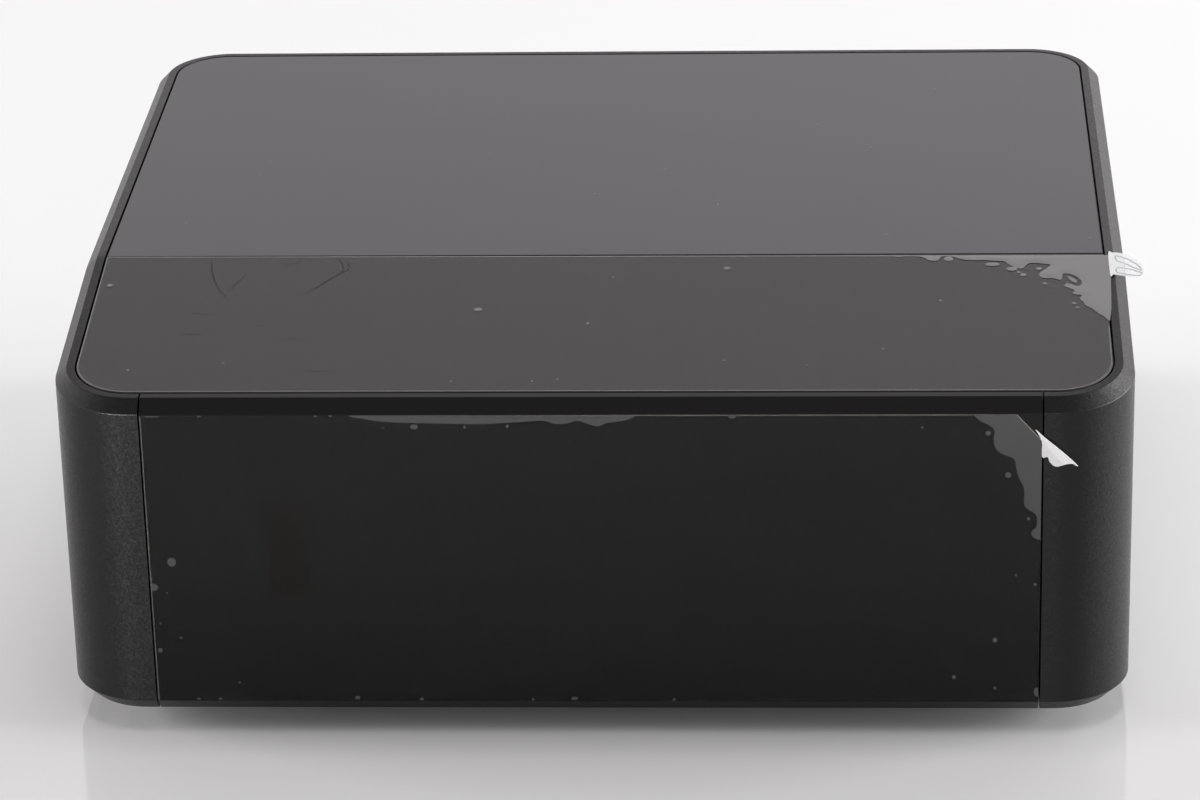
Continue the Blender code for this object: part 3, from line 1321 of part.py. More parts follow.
def ribbon_cable():
    """Flat cable on one smooth curve from the touch board down to the main board."""
    start_y = BEND_Y - TOUCH_BOARD_REAR - RIBBON_INSET
    start_z = top_height(start_y) - PLATE_THICKNESS - 2 * FIT - TOUCH_BOARD_THICKNESS - RIBBON_THICKNESS / 2
    end_y = BOARD_BACK_Y - MAIN_BOARD_DEPTH + RIBBON_INSET
    end_z = PART_BOTTOM
    controls = [
        (start_y, start_z),
        (start_y, start_z - RIBBON_SLACK),
        (end_y, end_z + RIBBON_SLACK),
        (end_y, end_z),
    ]
    line = []
    for i in range(RIBBON_STEPS + 1):
        t = i / RIBBON_STEPS
        shares = ((1 - t) ** 3, 3 * t * (1 - t) ** 2, 3 * t * t * (1 - t), t ** 3)
        y = sum(share * point[0] for share, point in zip(shares, controls))
        z = sum(share * point[1] for share, point in zip(shares, controls))
        line.append((y, z))
    one_side = []
    other_side = []
    for i, (y, z) in enumerate(line):
        before = line[max(i - 1, 0)]
        after = line[min(i + 1, RIBBON_STEPS)]
        dy = after[0] - before[0]
        dz = after[1] - before[1]
        reach = RIBBON_THICKNESS / 2 / math.hypot(dy, dz)
        one_side.append((y - dz * reach, z + dy * reach))
        other_side.append((y + dz * reach, z - dy * reach))
    outline = one_side + other_side[::-1]
    x = RIBBON_SIDE
    cable = prism_x(bmesh.new(), outline, x - RIBBON_WIDTH / 2, x + RIBBON_WIDTH / 2)
    place("ribbon_cable", cable, CABLE_WHITE)


def sensor_board():
    """Infrared receiver board behind the gloss fascia."""
    front = FRONT_Y + WALL + FIT
    low = UNDERSIDE + SENSOR_RISE
    high = low + SENSOR_BOARD_HEIGHT
    x = SENSOR_INSET - SIDE_X
    outline = rectangle(x, SENSOR_BOARD_WIDTH, low, high)
    board = prism_y(bmesh.new(), outline, front, front + SENSOR_BOARD_THICKNESS)
    board = place("infrared_board", board, BOARD_GREEN)
    middle = (low + high) / 2
    half = SENSOR_EYE_HEIGHT / 2
    eye = rectangle(x, SENSOR_EYE_WIDTH, middle - half, middle + half)
    back = front + SENSOR_BOARD_THICKNESS
    root = back - SENSOR_BOARD_THICKNESS / 2
    add(board, prism_y(bmesh.new(), eye, root, back + SENSOR_EYE_DEPTH), "infrared_eye")


def antennas():
    """Aerial strips against the inside of both side walls."""
    outer = SIDE_X - WALL - FIT
    y = FRONT_Y + ANTENNA_FRONT
    low = UNDERSIDE + ANTENNA_RISE
    strip = box(
        bmesh.new(),
        (-ANTENNA_THICKNESS / 2, 0.0, 0.0),
        (ANTENNA_THICKNESS / 2, ANTENNA_LENGTH, ANTENNA_HEIGHT),
    )
    x = outer - ANTENNA_THICKNESS / 2
    first = place("antenna_left", strip, BOARD_GREEN, (-x, y, low))
    place_mesh("antenna_right", first.data, (x, y, low))


def top_film():
    """Clear film over the touch glass and the white pull tab at its right rear corner."""
    inset = RIM_INSET + PLATE_GAP + FILM_MARGIN
    edge = BEND_Y - SEAM_GAP / 2 - FILM_MARGIN
    outline = glass_outline(inset, edge)
    place("top_film", sloped_plate(bmesh.new(), outline, FILM_TOP, FILM_THICKNESS), CLEAR_FILM)
    outline = []
    for out, forward in TOP_TAB_SHARES:
        outline.append((TOP_TAB_START + out * TOP_TAB_LENGTH, edge - forward * TOP_TAB_WIDTH))
    tab = sloped_plate(bmesh.new(), outline, FILM_BOTTOM + TAB_THICKNESS, TAB_THICKNESS)
    place("top_film_tab", tab, WHITE_FILM)


def front_film():
    """Clear film on the fascia with one corner folded away, and the pull tab that hangs from it."""
    side = SEAM_X - SEAM_GAP / 2 - FILM_MARGIN
    low = UNDERSIDE + BOTTOM_CHAMFER + FILM_MARGIN
    high = top_height(FRONT_Y) - TOP_CHAMFER - FILM_MARGIN
    outline = [
        (-side, low),
        (side, low),
        (side, high - FOLD_HEIGHT),
        (side - FOLD_WIDTH, high),
        (-side, high),
    ]
    sheet = prism_y(bmesh.new(), outline, FRONT_Y - FILM_TOP, FRONT_Y - FILM_BOTTOM)
    place("front_film", sheet, CLEAR_FILM)

    root_x = side - FOLD_WIDTH / 2 + FIT
    root_z = high - FOLD_HEIGHT / 2
    face = FRONT_Y - FILM_TOP - FIT
    back = []
    for across, down, out in FRONT_TAB_SHARES:
        x = root_x + across * FRONT_TAB_REACH
        y = face - out * FRONT_TAB_LIFT
        back.append((x, y, root_z - down * FRONT_TAB_DROP))
    front = [(x, y - TAB_THICKNESS, z) for x, y, z in back]
    place("front_film_tab", loft(bmesh.new(), [back, front]), WHITE_FILM)


def build():
    clear_scene()
    centre = bpy.data.objects.new("streamer_centre", None)
    bpy.context.collection.objects.link(centre)
    centre.location = (CENTRE_X, CENTRE_Y, 0.0)
    housing_wrap()
    front_fascia()
    rear_top_cover()
    touch_glass()
    base_plate()
    feet()
    screws()
    rear_panel()
    phono_jacks()
    minijacks()
    optical_socket()
    shell_sockets()
    network_socket()
    setup_button()
    mains_inlet()
    power_rocker()
    boards()
    power_parts()
    power_harness()
    main_board_parts()
    touch_board()
    ribbon_cable()
    sensor_board()
    antennas()
    top_film()
    front_film()


build()
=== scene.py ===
"""Studio scene for the network music streamer: pieces, materials, stage, light and camera round its frame.

Pieces are modelled in millimetres round the middle of the housing, from the floor up, and placed in metres.
"""

import json
import math

import bmesh
import bpy
from mathutils import Matrix, Vector, geometry
from mathutils.bvhtree import BVHTree


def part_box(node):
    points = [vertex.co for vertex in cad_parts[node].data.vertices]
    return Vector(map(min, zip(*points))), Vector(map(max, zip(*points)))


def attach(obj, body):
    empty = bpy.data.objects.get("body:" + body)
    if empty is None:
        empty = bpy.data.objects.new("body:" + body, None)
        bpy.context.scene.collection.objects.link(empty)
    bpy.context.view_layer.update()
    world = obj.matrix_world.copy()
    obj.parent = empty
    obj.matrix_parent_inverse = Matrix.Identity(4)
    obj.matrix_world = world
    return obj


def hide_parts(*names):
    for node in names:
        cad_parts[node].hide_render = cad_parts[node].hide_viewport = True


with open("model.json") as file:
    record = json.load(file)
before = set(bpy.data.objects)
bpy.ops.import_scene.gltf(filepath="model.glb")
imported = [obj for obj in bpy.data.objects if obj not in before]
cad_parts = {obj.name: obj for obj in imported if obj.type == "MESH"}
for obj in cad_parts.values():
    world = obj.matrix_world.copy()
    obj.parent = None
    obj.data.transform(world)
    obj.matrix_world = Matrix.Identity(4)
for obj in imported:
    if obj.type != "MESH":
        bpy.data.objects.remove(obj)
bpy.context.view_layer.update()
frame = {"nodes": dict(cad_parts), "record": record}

WRAP_LOW, WRAP_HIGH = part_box("housing_wrap")
MIDDLE = Vector(((WRAP_LOW[0] + WRAP_HIGH[0]) / 2, (WRAP_LOW[1] + WRAP_HIGH[1]) / 2, 0.0))
MM = 0.001
PLACE = Matrix.Translation(MIDDLE) @ Matrix.Scale(MM, 4)

# Housing, as in the frame
WIDTH = 220.0
DEPTH = 192.0
UNDERSIDE = 4.2
TOP = 82.0
CORNER_RADIUS = 16.3
TOP_CHAMFER = 2.4
BOTTOM_CHAMFER = 3.1
RIM_WIDTH = 1.7
WALL = 3.4
SEAM_X = 91.0
SEAM_GAP = 0.35
SEAT_DEPTH = 2.3
LEDGE_INSET = 7.1
LEDGE_UNDER = 4.1
FLANGE_TOP = 7.8
FLANGE_INSET = 5.8
PLATE_GAP = 0.35
PLATE_THICKNESS = 2.0
PLATE_EDGE_STEPS = 4
COVER_EDGE = 0.25
GLASS_EDGE = 0.2
BEND_Y = -35.5
SLOPE = 7.6 / 60.5
BEND_BLEND = 1.2
CORNER_STEPS = 24
SIDE_X = WIDTH / 2
FRONT_Y = -DEPTH / 2
BACK_Y = DEPTH / 2
CORNER_X = SIDE_X - CORNER_RADIUS
CORNER_Y = BACK_Y - CORNER_RADIUS
CORNER_NAMES = ("front_left", "front_right", "rear_left", "rear_right")
RIM_INSET = TOP_CHAMFER + RIM_WIDTH

# Rear window and panel, as in the frame
WINDOW_X = 92.5
WINDOW_LOW = 10.4
WINDOW_HIGH = 56.4
WINDOW_RADIUS = 3.0
WINDOW_LEDGE = 2.5
WINDOW_LEDGE_TOP = 6.5
PANEL_OUT = BACK_Y - 0.4
PANEL_IN = PANEL_OUT - 1.5
PANEL_PLAY = 0.3
WINDOW_CHAMFER = 0.35
CUT_PAST = 3.0

# Infrared window in the gloss front, and how deep a face of it may lie
EYE_X = (-66.2, -57.6)
EYE_Z = (30.5, 50.8)
FACE_DEPTH = 0.1

# Distances below which spots count as one, in millimetres, on a flat plan and in metres
NEAR = 1e-4
FLAT_NEAR = 1e-5
WELD = 1e-6

# Angles in degrees above which an edge stays sharp, and the least lean of a drawn-in corner
SHARP_ANGLE = 35.0
FILM_SHARP = 60.0
DUST_SHARP = 80.0
LEAN_LEAST = 0.25

# Films: heights above the surface they cling to
FILM_UNDER = 0.02
FILM_SKIN = 0.10
FILM_LIFT = 0.06
BUBBLE_LIFT = 0.015
# Width of the pale strip painted along a film's cut edge as its highlight
EDGE_HIGHLIGHT_WIDTH = 0.22
FILM_EDGE_X = 105.35
FILM_FRONT_INSET = 4.65
FILM_REAR_LEFT = -35.7
FILM_OVERHANG = [
    (105.35, -72.0), (105.45, -66.0), (105.8, -62.5), (106.15, -59.0), (106.4, -53.0), (106.6, -47.0),
    (106.7, -44.6), (106.7, -36.45),
]
FRONT_FILM_X = 90.75
FRONT_FILM_LOW = 7.5
FRONT_FILM_HIGH = 71.8
FOLD_WIDTH = 5.0
FOLD_HEIGHT = 5.6

# Lifted patches: pitch of their points, rows as a share of it, margin to the edge and run up to full height
LIFT_PITCH = 1.1
LIFT_ROW = 0.87
LIFT_MARGIN = 0.3
LIFT_RUN = 1.3

# Bubbles: width at which they stop growing higher, and points round them and round their domes
BUBBLE_WIDEST = 2.0
BUBBLE_STEPS = 20
DOME_SHARE = 0.6
DOME_STEPS = 10

# Where the cut edges of the films catch the light
TOP_BRIGHT_Y = -36.9
FRONT_EDGE_START = -20.0
FOLD_NEAR = 0.08
EDGE_NEAR = 0.3

# Where the top film has come off the glass, from its rear edge round to its right edge
TOP_LIFTED = [
    (66.1, -36.2), (67.7, -37.1), (68.9, -38.4), (70.0, -38.7), (70.9, -38.3), (71.5, -37.0), (72.1, -36.6),
    (73.1, -36.5), (74.3, -37.1), (76.0, -38.1), (78.3, -38.4), (80.6, -38.4), (82.6, -38.7), (84.5, -38.9),
    (85.3, -39.7), (86.4, -41.2), (87.7, -42.0), (88.6, -41.9), (89.3, -40.5), (90.2, -39.7), (91.6, -39.8),
    (93.7, -40.2), (94.3, -40.6), (93.5, -41.9), (92.3, -43.4), (91.8, -44.6), (92.2, -45.8), (93.1, -46.2),
    (94.7, -46.2), (96.0, -46.9), (96.5, -46.2), (96.7, -44.5), (97.3, -44.2), (98.4, -44.6), (99.6, -45.6),
    (100.4, -47.2), (100.5, -48.7), (99.9, -49.4), (99.1, -49.3), (98.2, -48.6), (97.3, -48.4),
    (96.9, -49.5), (97.8, -50.3), (98.9, -51.3), (98.4, -52.4), (99.0, -53.0), (100.3, -53.4),
    (99.8, -54.7), (100.6, -56.3), (100.9, -57.6), (102.0, -58.6), (102.7, -59.7), (103.4, -60.9),
    (104.4, -62.0), (105.0, -63.1), (105.6, -63.9), (109.0, -66.5), (109.0, -33.0), (66.0, -33.0),
]
TOP_CORE = [(97.6, -45.4), (98.5, -45.8), (99.3, -46.8), (99.6, -47.9), (99.1, -48.1), (98.3, -47.2)]

# Air bubbles: centre across and along, width and length
TOP_BUBBLES = [
    (73.1, -37.8, 2.0, 2.0), (82.2, -40.2, 3.1, 1.5), (86.2, -42.2, 2.3, 1.6), (87.6, -43.6, 0.8, 0.9),
    (88.5, -44.7, 1.4, 1.3), (80.3, -43.4, 0.5, 0.6), (91.9, -42.1, 1.2, 1.2), (92.9, -48.4, 1.1, 0.9),
    (94.7, -49.8, 0.5, 0.5), (71.3, -55.5, 0.7, 0.6), (62.6, -36.2, 2.7, 1.2), (99.2, -58.4, 0.8, 0.8),
    (98.6, -56.7, 1.1, 0.9), (89.6, -46.3, 0.3, 0.5), (-24.7, -58.5, 1.7, 1.5), (-103.1, -47.9, 1.3, 1.3),
    (-75.4, -80.2, 0.6, 0.8), (-1.6, -64.4, 0.8, 1.0), (26.9, -79.5, 0.6, 0.8), (2.8, -45.2, 0.6, 0.8),
    (-94.6, -82.9, 0.6, 0.8), (26.6, -41.5, 1.5, 1.2), (-20.9, -43.8, 0.4, 0.6), (-52.0, -63.5, 0.4, 0.4),
]

# Hairs caught under the top film and smears on it: width, then the path
TOP_HAIRS = [
    (0.34, [(-82.9, -36.8), (-82.4, -40.4), (-81.7, -44.0), (-80.0, -49.2), (-77.2, -54.0)]),
    (0.22, [(-77.3, -50.1), (-76.5, -47.4), (-75.7, -45.8), (-74.8, -42.3)]),
    (0.34, [(-53.9, -36.8), (-53.3, -41.2), (-54.6, -42.7), (-57.5, -46.3), (-59.5, -49.4), (-61.7, -51.5)]),
    (0.30, [(-56.0, -36.8), (-54.7, -39.4), (-54.4, -42.4)]),
    (0.26, [(-63.8, -36.8), (-64.8, -38.5), (-67.6, -39.9)]),
    (0.22, [(-85.2, -59.3), (-82.6, -59.9), (-79.6, -60.3)]),
    (0.30, [(-71.0, -64.6), (-69.3, -64.8), (-67.6, -64.2)]),
    (0.22, [(-86.8, -67.5), (-83.9, -68.3), (-81.2, -68.3)]),
    (0.22, [(-65.3, -70.1), (-62.7, -70.2), (-59.8, -70.5)]),
    (0.18, [(-58.5, -83.1), (-55.6, -83.3), (-52.8, -82.9)]),
]

# Dust on the two top faces: place and width
DUST = [
    (57.1, 28.4, 0.5), (103.0, -26.7, 0.5), (59.9, -24.2, 0.4), (23.8, -6.5, 0.4), (11.4, 15.9, 0.35),
    (-3.2, 0.4, 0.35), (-41.5, 51.3, 0.35), (71.8, 66.2, 0.4), (-78.4, 12.7, 0.35), (59.1, -75.2, 0.5),
    (-11.7, -87.6, 0.45), (-6.7, -86.8, 0.35), (-28.2, -87.5, 0.35), (43.7, -81.5, 0.3), (71.0, -55.3, 0.4),
]

# Where the front film has come off the fascia: at its right side, and along its top edge
FRONT_LIFTED = [
    (77.3, 71.7), (77.8, 70.9), (78.5, 70.3), (79.5, 69.8), (80.4, 69.3), (81.0, 68.7), (81.3, 68.0),
    (81.2, 67.1), (81.1, 66.1), (81.3, 65.0), (81.8, 64.0), (82.7, 63.2), (83.9, 62.7), (84.8, 62.3),
    (85.4, 61.7), (85.6, 60.6), (85.9, 59.0), (86.3, 57.8), (86.9, 56.5), (87.3, 55.4), (87.4, 54.1),
    (87.3, 52.7), (87.4, 51.8), (87.9, 51.1), (88.7, 50.5), (89.5, 50.0), (89.9, 49.2), (90.0, 48.2),
    (89.8, 46.9), (89.3, 46.5), (88.9, 45.8), (89.0, 45.1), (89.5, 44.5), (90.6, 44.1), (94.0, 44.0),
    (94.0, 75.0), (77.0, 75.0),
]
FRONT_LENS = [
    (-48.6, 71.9), (-45.5, 71.1), (-42.0, 70.5), (-37.5, 70.2), (-33.6, 70.1), (-29.5, 70.0), (-25.5, 69.9),
    (-21.0, 69.9), (-17.2, 70.1), (-12.5, 70.4), (-8.9, 70.6), (-7.0, 69.9), (-4.3, 70.0), (-2.3, 70.6),
    (-0.5, 70.0), (1.9, 69.3), (3.7, 70.1), (6.7, 70.5), (8.4, 71.0), (9.4, 71.8), (10.0, 75.0),
    (-49.0, 75.0),
]
FRONT_BUBBLES = [
    (-35.2, 69.3, 1.6, 1.1), (-25.0, 69.2, 0.6, 0.7), (-16.4, 69.4, 0.6, 0.7), (-41.4, 69.0, 0.4, 0.4),
    (28.8, 71.5, 1.6, 1.0), (-86.1, 39.1, 1.8, 2.0), (-90.2, 33.4, 1.9, 1.7), (-89.7, 19.0, 1.0, 1.1),
    (-85.2, 21.8, 0.5, 0.6), (-77.8, 7.8, 0.8, 0.6), (-49.3, 8.1, 1.1, 0.8), (-36.0, 7.8, 0.8, 0.7),
    (-13.0, 7.8, 0.6, 0.7), (-4.4, 8.0, 1.4, 0.8), (16.1, 7.8, 0.8, 0.7), (81.8, 21.5, 1.0, 1.1),
    (73.5, 13.0, 0.8, 0.9), (81.9, 10.5, 0.6, 0.7), (90.5, 9.6, 1.3, 2.1), (89.8, 34.1, 0.6, 0.7),
    (85.9, 36.2, 0.5, 0.6), (66.8, 69.0, 0.5, 0.5), (-87.5, 32.1, 0.4, 0.5), (-89.2, 25.2, 0.4, 0.5),
    (-73.6, 11.6, 0.4, 0.5), (-82.3, 7.8, 0.8, 0.5), (-88.2, 71.7, 3.0, 0.5), (-78.6, 71.7, 0.9, 0.4),
    (80.0, 67.7, 1.1, 1.1), (84.1, 58.5, 1.3, 1.3), (88.3, 48.8, 0.7, 0.7), (73.3, 67.7, 0.3, 0.3),
    (-55.0, 71.7, 0.8, 0.4), (-52.0, 71.7, 0.8, 0.4),
]

# Pull tabs
TOP_TAB = [
    (106.6, -35.9), (107.4, -35.8), (108.2, -35.9), (109.6, -36.4), (110.9, -37.6), (112.3, -39.8),
    (113.1, -41.6), (113.5, -43.4), (113.4, -45.4), (113.1, -46.4), (112.2, -46.7), (110.4, -46.2),
    (108.2, -45.3), (107.2, -45.1), (106.6, -45.1),
]
TOP_TAB_OPAQUE_END = 109.6
TOP_TAB_CUT = (-50.0, -30.0)
TOP_TAB_ROOT = 106.6
TOP_TAB_LOOPS = [
    [(107.8, -37.9), (108.0, -37.2), (108.6, -37.3), (109.3, -37.8), (110.0, -38.4), (110.7, -39.1),
     (111.3, -40.0), (111.9, -40.9), (112.5, -41.9), (112.9, -43.0), (113.2, -44.0), (113.0, -44.4),
     (112.6, -44.2), (111.9, -43.4), (111.2, -42.7), (110.4, -41.6), (109.6, -40.8), (108.8, -40.1),
     (108.2, -39.7), (107.9, -38.9)],
    [(107.7, -43.2), (108.0, -42.5), (108.5, -42.2), (109.2, -42.4), (110.0, -42.7), (110.8, -43.2),
     (111.6, -43.8), (112.3, -44.5), (112.9, -45.0), (113.2, -45.6), (113.0, -46.2), (112.6, -46.5),
     (112.0, -46.4), (111.4, -46.1), (110.5, -45.7), (109.6, -45.2), (108.8, -44.9), (108.1, -44.6),
     (107.8, -44.1)],
]
FRONT_TAB = [
    (89.4, 68.5), (90.9, 67.1), (93.8, 64.5), (96.5, 62.0), (97.9, 60.5), (97.4, 60.7), (96.7, 61.0),
    (95.7, 60.9), (94.7, 60.6), (93.7, 60.4), (92.9, 60.8), (92.3, 61.5), (91.9, 62.5), (90.8, 62.6),
    (90.7, 66.0),
]
FRONT_TAB_LIFT = 2.3

# Marks on the top: how far strands stand above the film and marks reach into it, the width of a strand's
# tips as a share, cuts between its points, and the height of a dust dome by its width, its rings and points
HAIR_RISE = 0.02
MARK_SINK = 0.01
HAIR_TIP = 0.3
HAIR_CUTS = 4
DUST_RISE = 0.25
DUST_RINGS = [(1.0, 0.0), (0.8, 0.5), (0.4, 0.9)]
DUST_STEPS = 10

# Tabs: thickness, pitch of their points, the top one's gap, curl and drawn lines, and the front one's gap,
# curl, waves and slide along the sight line
TAB_THICKNESS = 0.12
TAB_PITCH = 0.6
TOP_TAB_GAP = 0.22
TOP_TAB_CURL = 0.012
LINE_WIDTH = 0.26
LINE_LOW = 0.10
LINE_HIGH = 0.14
FRONT_TAB_GAP = 0.14
CURL_RUN = 2.5
WAVE_HEIGHT = 0.18
WAVE_TURN = 1.1
WAVE_RUN = 3.0
SLIDE_ACROSS = 0.05
SLIDE_UP = 0.47

# Points round the turned parts
FOOT_STEPS = 40
RING_STEPS = 36
BUTTON_STEPS = 32
PIN_STEPS = 24
ROD_STEPS = 20
SCREW_STEPS = 24

# Feet, as radius and height, up to the neck
FOOT_PROFILE = [
    (0.0, 1.5), (3.4, 1.5), (3.5, 1.4), (3.5, 0.12), (3.62, 0.0), (5.1, 0.0), (5.3, 0.2), (5.7, 0.2),
    (5.9, 0.0), (6.9, 0.0), (7.1, 0.2), (7.5, 0.2), (7.7, 0.0), (8.3, 0.0), (8.7, 0.1), (8.93, 0.4),
    (9.0, 0.8), (9.0, 4.2), (2.5, 4.2),
]
NECK_RADIUS = 2.5
NECK_EDGE = 0.8

# Screws: radius and length of the shank, radius and height of the head's rings, reach of the hexagon's flats
# and its scale and height
BASE_SHANK = (1.5, 11.9)
PANEL_SHANK = (1.25, 4.4)
HEAD_HEIGHT = 1.6
HEAD_RINGS = [(2.6, 0.0), (2.7, 0.1), (2.7, 0.9), (2.55, 1.3), (2.2, HEAD_HEIGHT)]
HEX_REACH = 1.1
HEX_RINGS = [(1.06, HEAD_HEIGHT), (1.0, 1.5), (1.0, 0.7)]

# Jacks and rings, as radius and height above the panel's parts
JACK_SHELL = [
    (3.3, 0.0), (4.15, 0.0), (4.15, 4.5), (4.0, 4.6), (4.0, 4.9), (4.15, 5.0), (4.15, 9.55), (4.06, 9.82),
    (3.8, 10.0), (3.5, 10.0), (3.3, 9.85),
]
JACK_INSERT = [
    (0.0, 0.5), (3.28, 0.5), (3.28, 9.4), (3.0, 9.45), (1.9, 9.45), (1.7, 9.3), (1.65, 9.0), (1.65, 2.6),
    (0.0, 2.6),
]
JACK_CONTACT = [(1.58, 2.7), (1.58, 8.7), (1.5, 8.8), (1.4, 8.8), (1.32, 8.7), (1.32, 2.7)]
JACK_PARTS = [(JACK_SHELL, 40), (JACK_INSERT, 32), (JACK_CONTACT, 24)]
MINIJACK_RING = [
    (1.8, 0.0), (3.1, 0.0), (3.1, 2.3), (2.95, 2.6), (2.75, 2.7), (2.15, 2.7), (1.9, 2.6), (1.8, 2.35),
]
JACK_INSERTS = {
    "line_out_left": "insert_white", "line_out_right": "insert_red", "subwoofer_out": "insert_black",
    "coaxial_out": "insert_orange",
}

# Optical socket and its shutter
OPTICAL_WALL = 1.1
OPTICAL_DEPTH = 11.5
OPTICAL_LENS_DEPTH = 11.6
OPTICAL_ROUNDS = (0.8, 0.25)
OPTICAL_EDGE = 0.3
OPTICAL_LENS = [(0.0, 0.0), (1.6, 0.0), (1.6, 2.4), (1.45, 2.6), (0.6, 2.6), (0.6, 2.2), (0.0, 2.2)]
FLAP_BACK = 0.15
FLAP_FRONT = 0.8
FLAP_PIN = 0.6
RIB_SHARES = (0.25, 0.5, 0.75)
RIB_INSET = 1.2
RIB_BACK = 0.7
RIB_FRONT = 0.95
RIB_HALF = 0.2

# Video and USB sockets: plated shell, plastic tongue and base, contacts
SHELL_SKIN = 0.42
SHELL_EDGE = 0.08
SHELL_ROUND = 0.5
SHELL_BACK = 1.5
TONGUE_RISE = 2.8
TONGUE_START = 1.4
TONGUE_END = 1.0
BASE_OVERLAP = 0.2
CONTACT_START = 1.6
CONTACT_SINK = 0.05
CONTACT_PROUD = 0.06
VIDEO_HEIGHT = 5.6
VIDEO_OUTLINE = [(-7.5, VIDEO_HEIGHT), (-7.5, 1.8), (-5.7, 0.0), (5.7, 0.0), (7.5, 1.8), (7.5, VIDEO_HEIGHT)]
VIDEO_TONGUE = (5.2, 1.0)
VIDEO_CONTACTS = 10
VIDEO_FIRST = 4.75
VIDEO_END = 1.3
CONTACT_WIDTH = 0.45
UPPER_SHIFT = 0.5
USB_HEIGHT = 6.0
USB_HALF = 6.6
USB_TONGUE = (5.5, 1.8)
USB_CONTACTS = (-3.5, -1.0, 1.0, 3.5)
USB_CONTACT_HALF = 0.55
USB_END = 1.6
USB_PROUD = 0.08
SPRING_SHIFTS = (-3.2, 3.2)
SPRING_HALF = 1.0
SPRING_DEPTHS = (6.5, 3.0)
SPRING_NEAR = 0.4
SPRING_FAR = 0.75

# Network socket: block, stepped opening, pins as depth and height of both ends, and its two lamps
NETWORK_RISE = 4.4
NETWORK_HALF = 8.0
NETWORK_MIDDLE = 2.0
NETWORK_DEPTH = 13.5
NETWORK_OPENING = [
    (-5.9, 7.0), (-5.9, 0.0), (-3.1, 0.0), (-3.1, -2.6), (3.1, -2.6), (3.1, 0.0), (5.9, 0.0), (5.9, 7.0),
]
NETWORK_ROUND = 0.2
PIN_COUNT = 8
PIN_FIRST = 3.75
PIN_PITCH = 1.02
PIN_WIDTH = 0.36
PIN_LOWER = [(10.8, 4.0), (4.0, 6.5)]
PIN_UPPER = [(11.0, 6.9), (4.2, 6.7)]
LAMP_SHIFT = 5.6
LAMP_HALF = 1.2
LAMP_HEIGHTS = (0.9, 2.6)
LAMP_DEPTH = 1.0
LAMP_PROUD = 0.12

# Setup button, as radius and height: its back and collar, then its tip from the far end
BUTTON_BACK = [(0.0, 0.0), (0.9, 0.0), (0.9, 1.0), (2.5, 1.0), (2.5, 1.8), (1.8, 1.8)]
BUTTON_TIP = [(1.8, -0.25), (1.6, 0.0), (0.7, -0.12), (0.0, -0.16)]

# Mains inlet, its outlines as half width, half height and radius, its pins, and the frame of the switch
INLET_DROP = 6.5
INLET_OUTER = (10.75, 6.5, 5.5)
INLET_INNER = (8.4, 4.4, 4.3)
INLET_STEPS = 10
INLET_DEPTH = 12.0
INLET_EDGE = 0.4
INLET_BACK = (5.4, 12.2, 5.0)
INLET_PIN = [(0.0, 0.0), (1.2, 0.0), (1.2, 9.2), (1.0, 9.7), (0.5, 10.0), (0.0, 10.0)]
INLET_PIN_SHIFT = 4.3
INLET_PIN_DEPTH = 12.5
SWITCH_WALL = (1.3, 1.4)
SWITCH_DEPTH = 12.5
SWITCH_ROUNDS = (0.9, 0.3)
SWITCH_EDGE = 0.35

# Power rocker: its soft edges, and a line above its middle and a ring below
ROCKER_EDGE = 0.3
ROCKER_SHARP = 50.0
MARK_RISE = 4.6
MARK_HEIGHT = 0.04
MARK_ROOT = 0.1
MARK_HALF = (0.3, 1.6)
MARK_ROUND = 0.25
MARK_RADII = (1.6, 1.1)
MARK_STEPS = 28
RAY_START = 5.0

# Camera, in millimetres from the middle of the housing
CAMERA_PLACE = (54.21, -957.15, 452.78)
CAMERA_TURN = (66.34841, 1.36709, 2.84287)
CAMERA_LENS = 141.06
CAMERA_SENSOR = 36.0
CAMERA_CLIP = (0.01, 50.0)

# Floor: gloss, the way its colour runs, and its colours by place that way, in metres. These colours are
# painted
# light and shade: a painted shadow just in front of the object, and painted light further out in front and
# behind it.
FLOOR_REACH = 4000.0
FLOOR_ROUGHNESS = 0.07
FLOOR_SPECULAR = 0.7
FLOOR_WAY = (0.3, 1.0, 0.0)
FLOOR_START = -0.30
FLOOR_END = 0.02
FLOOR_PAINTED_SHADE = [
    (-0.27, (0.94, 0.93, 0.935)), (-0.15, (0.775, 0.76, 0.765)), (-0.105, (0.775, 0.76, 0.765)),
    (0.0, (0.845, 0.84, 0.845)),
]

# Light by direction: axis, the two directions it changes between, and its share of white at each. Reflections
# are shaded overhead and in front and brighter at both sides; the fill for matt surfaces fades overhead.
WHITE = (1.0, 1.0, 1.0, 1.0)
MIRRORED_COLOUR = (1.0, 0.965, 0.98, 1.0)
MIRRORED_RAMPS = [
    ("Z", 0.61, 0.87, 1.0, 0.56), ("Y", -0.85, -0.30, 0.55, 1.0), ("X", -0.24, 0.24, 0.93, 1.12),
    ("X", 0.50, 0.92, 1.0, 3.5), ("X", -0.92, -0.50, 1.9, 1.0),
]
FILL_RAMP = ("Z", 0.05, 0.68, 1.05, 0.04)

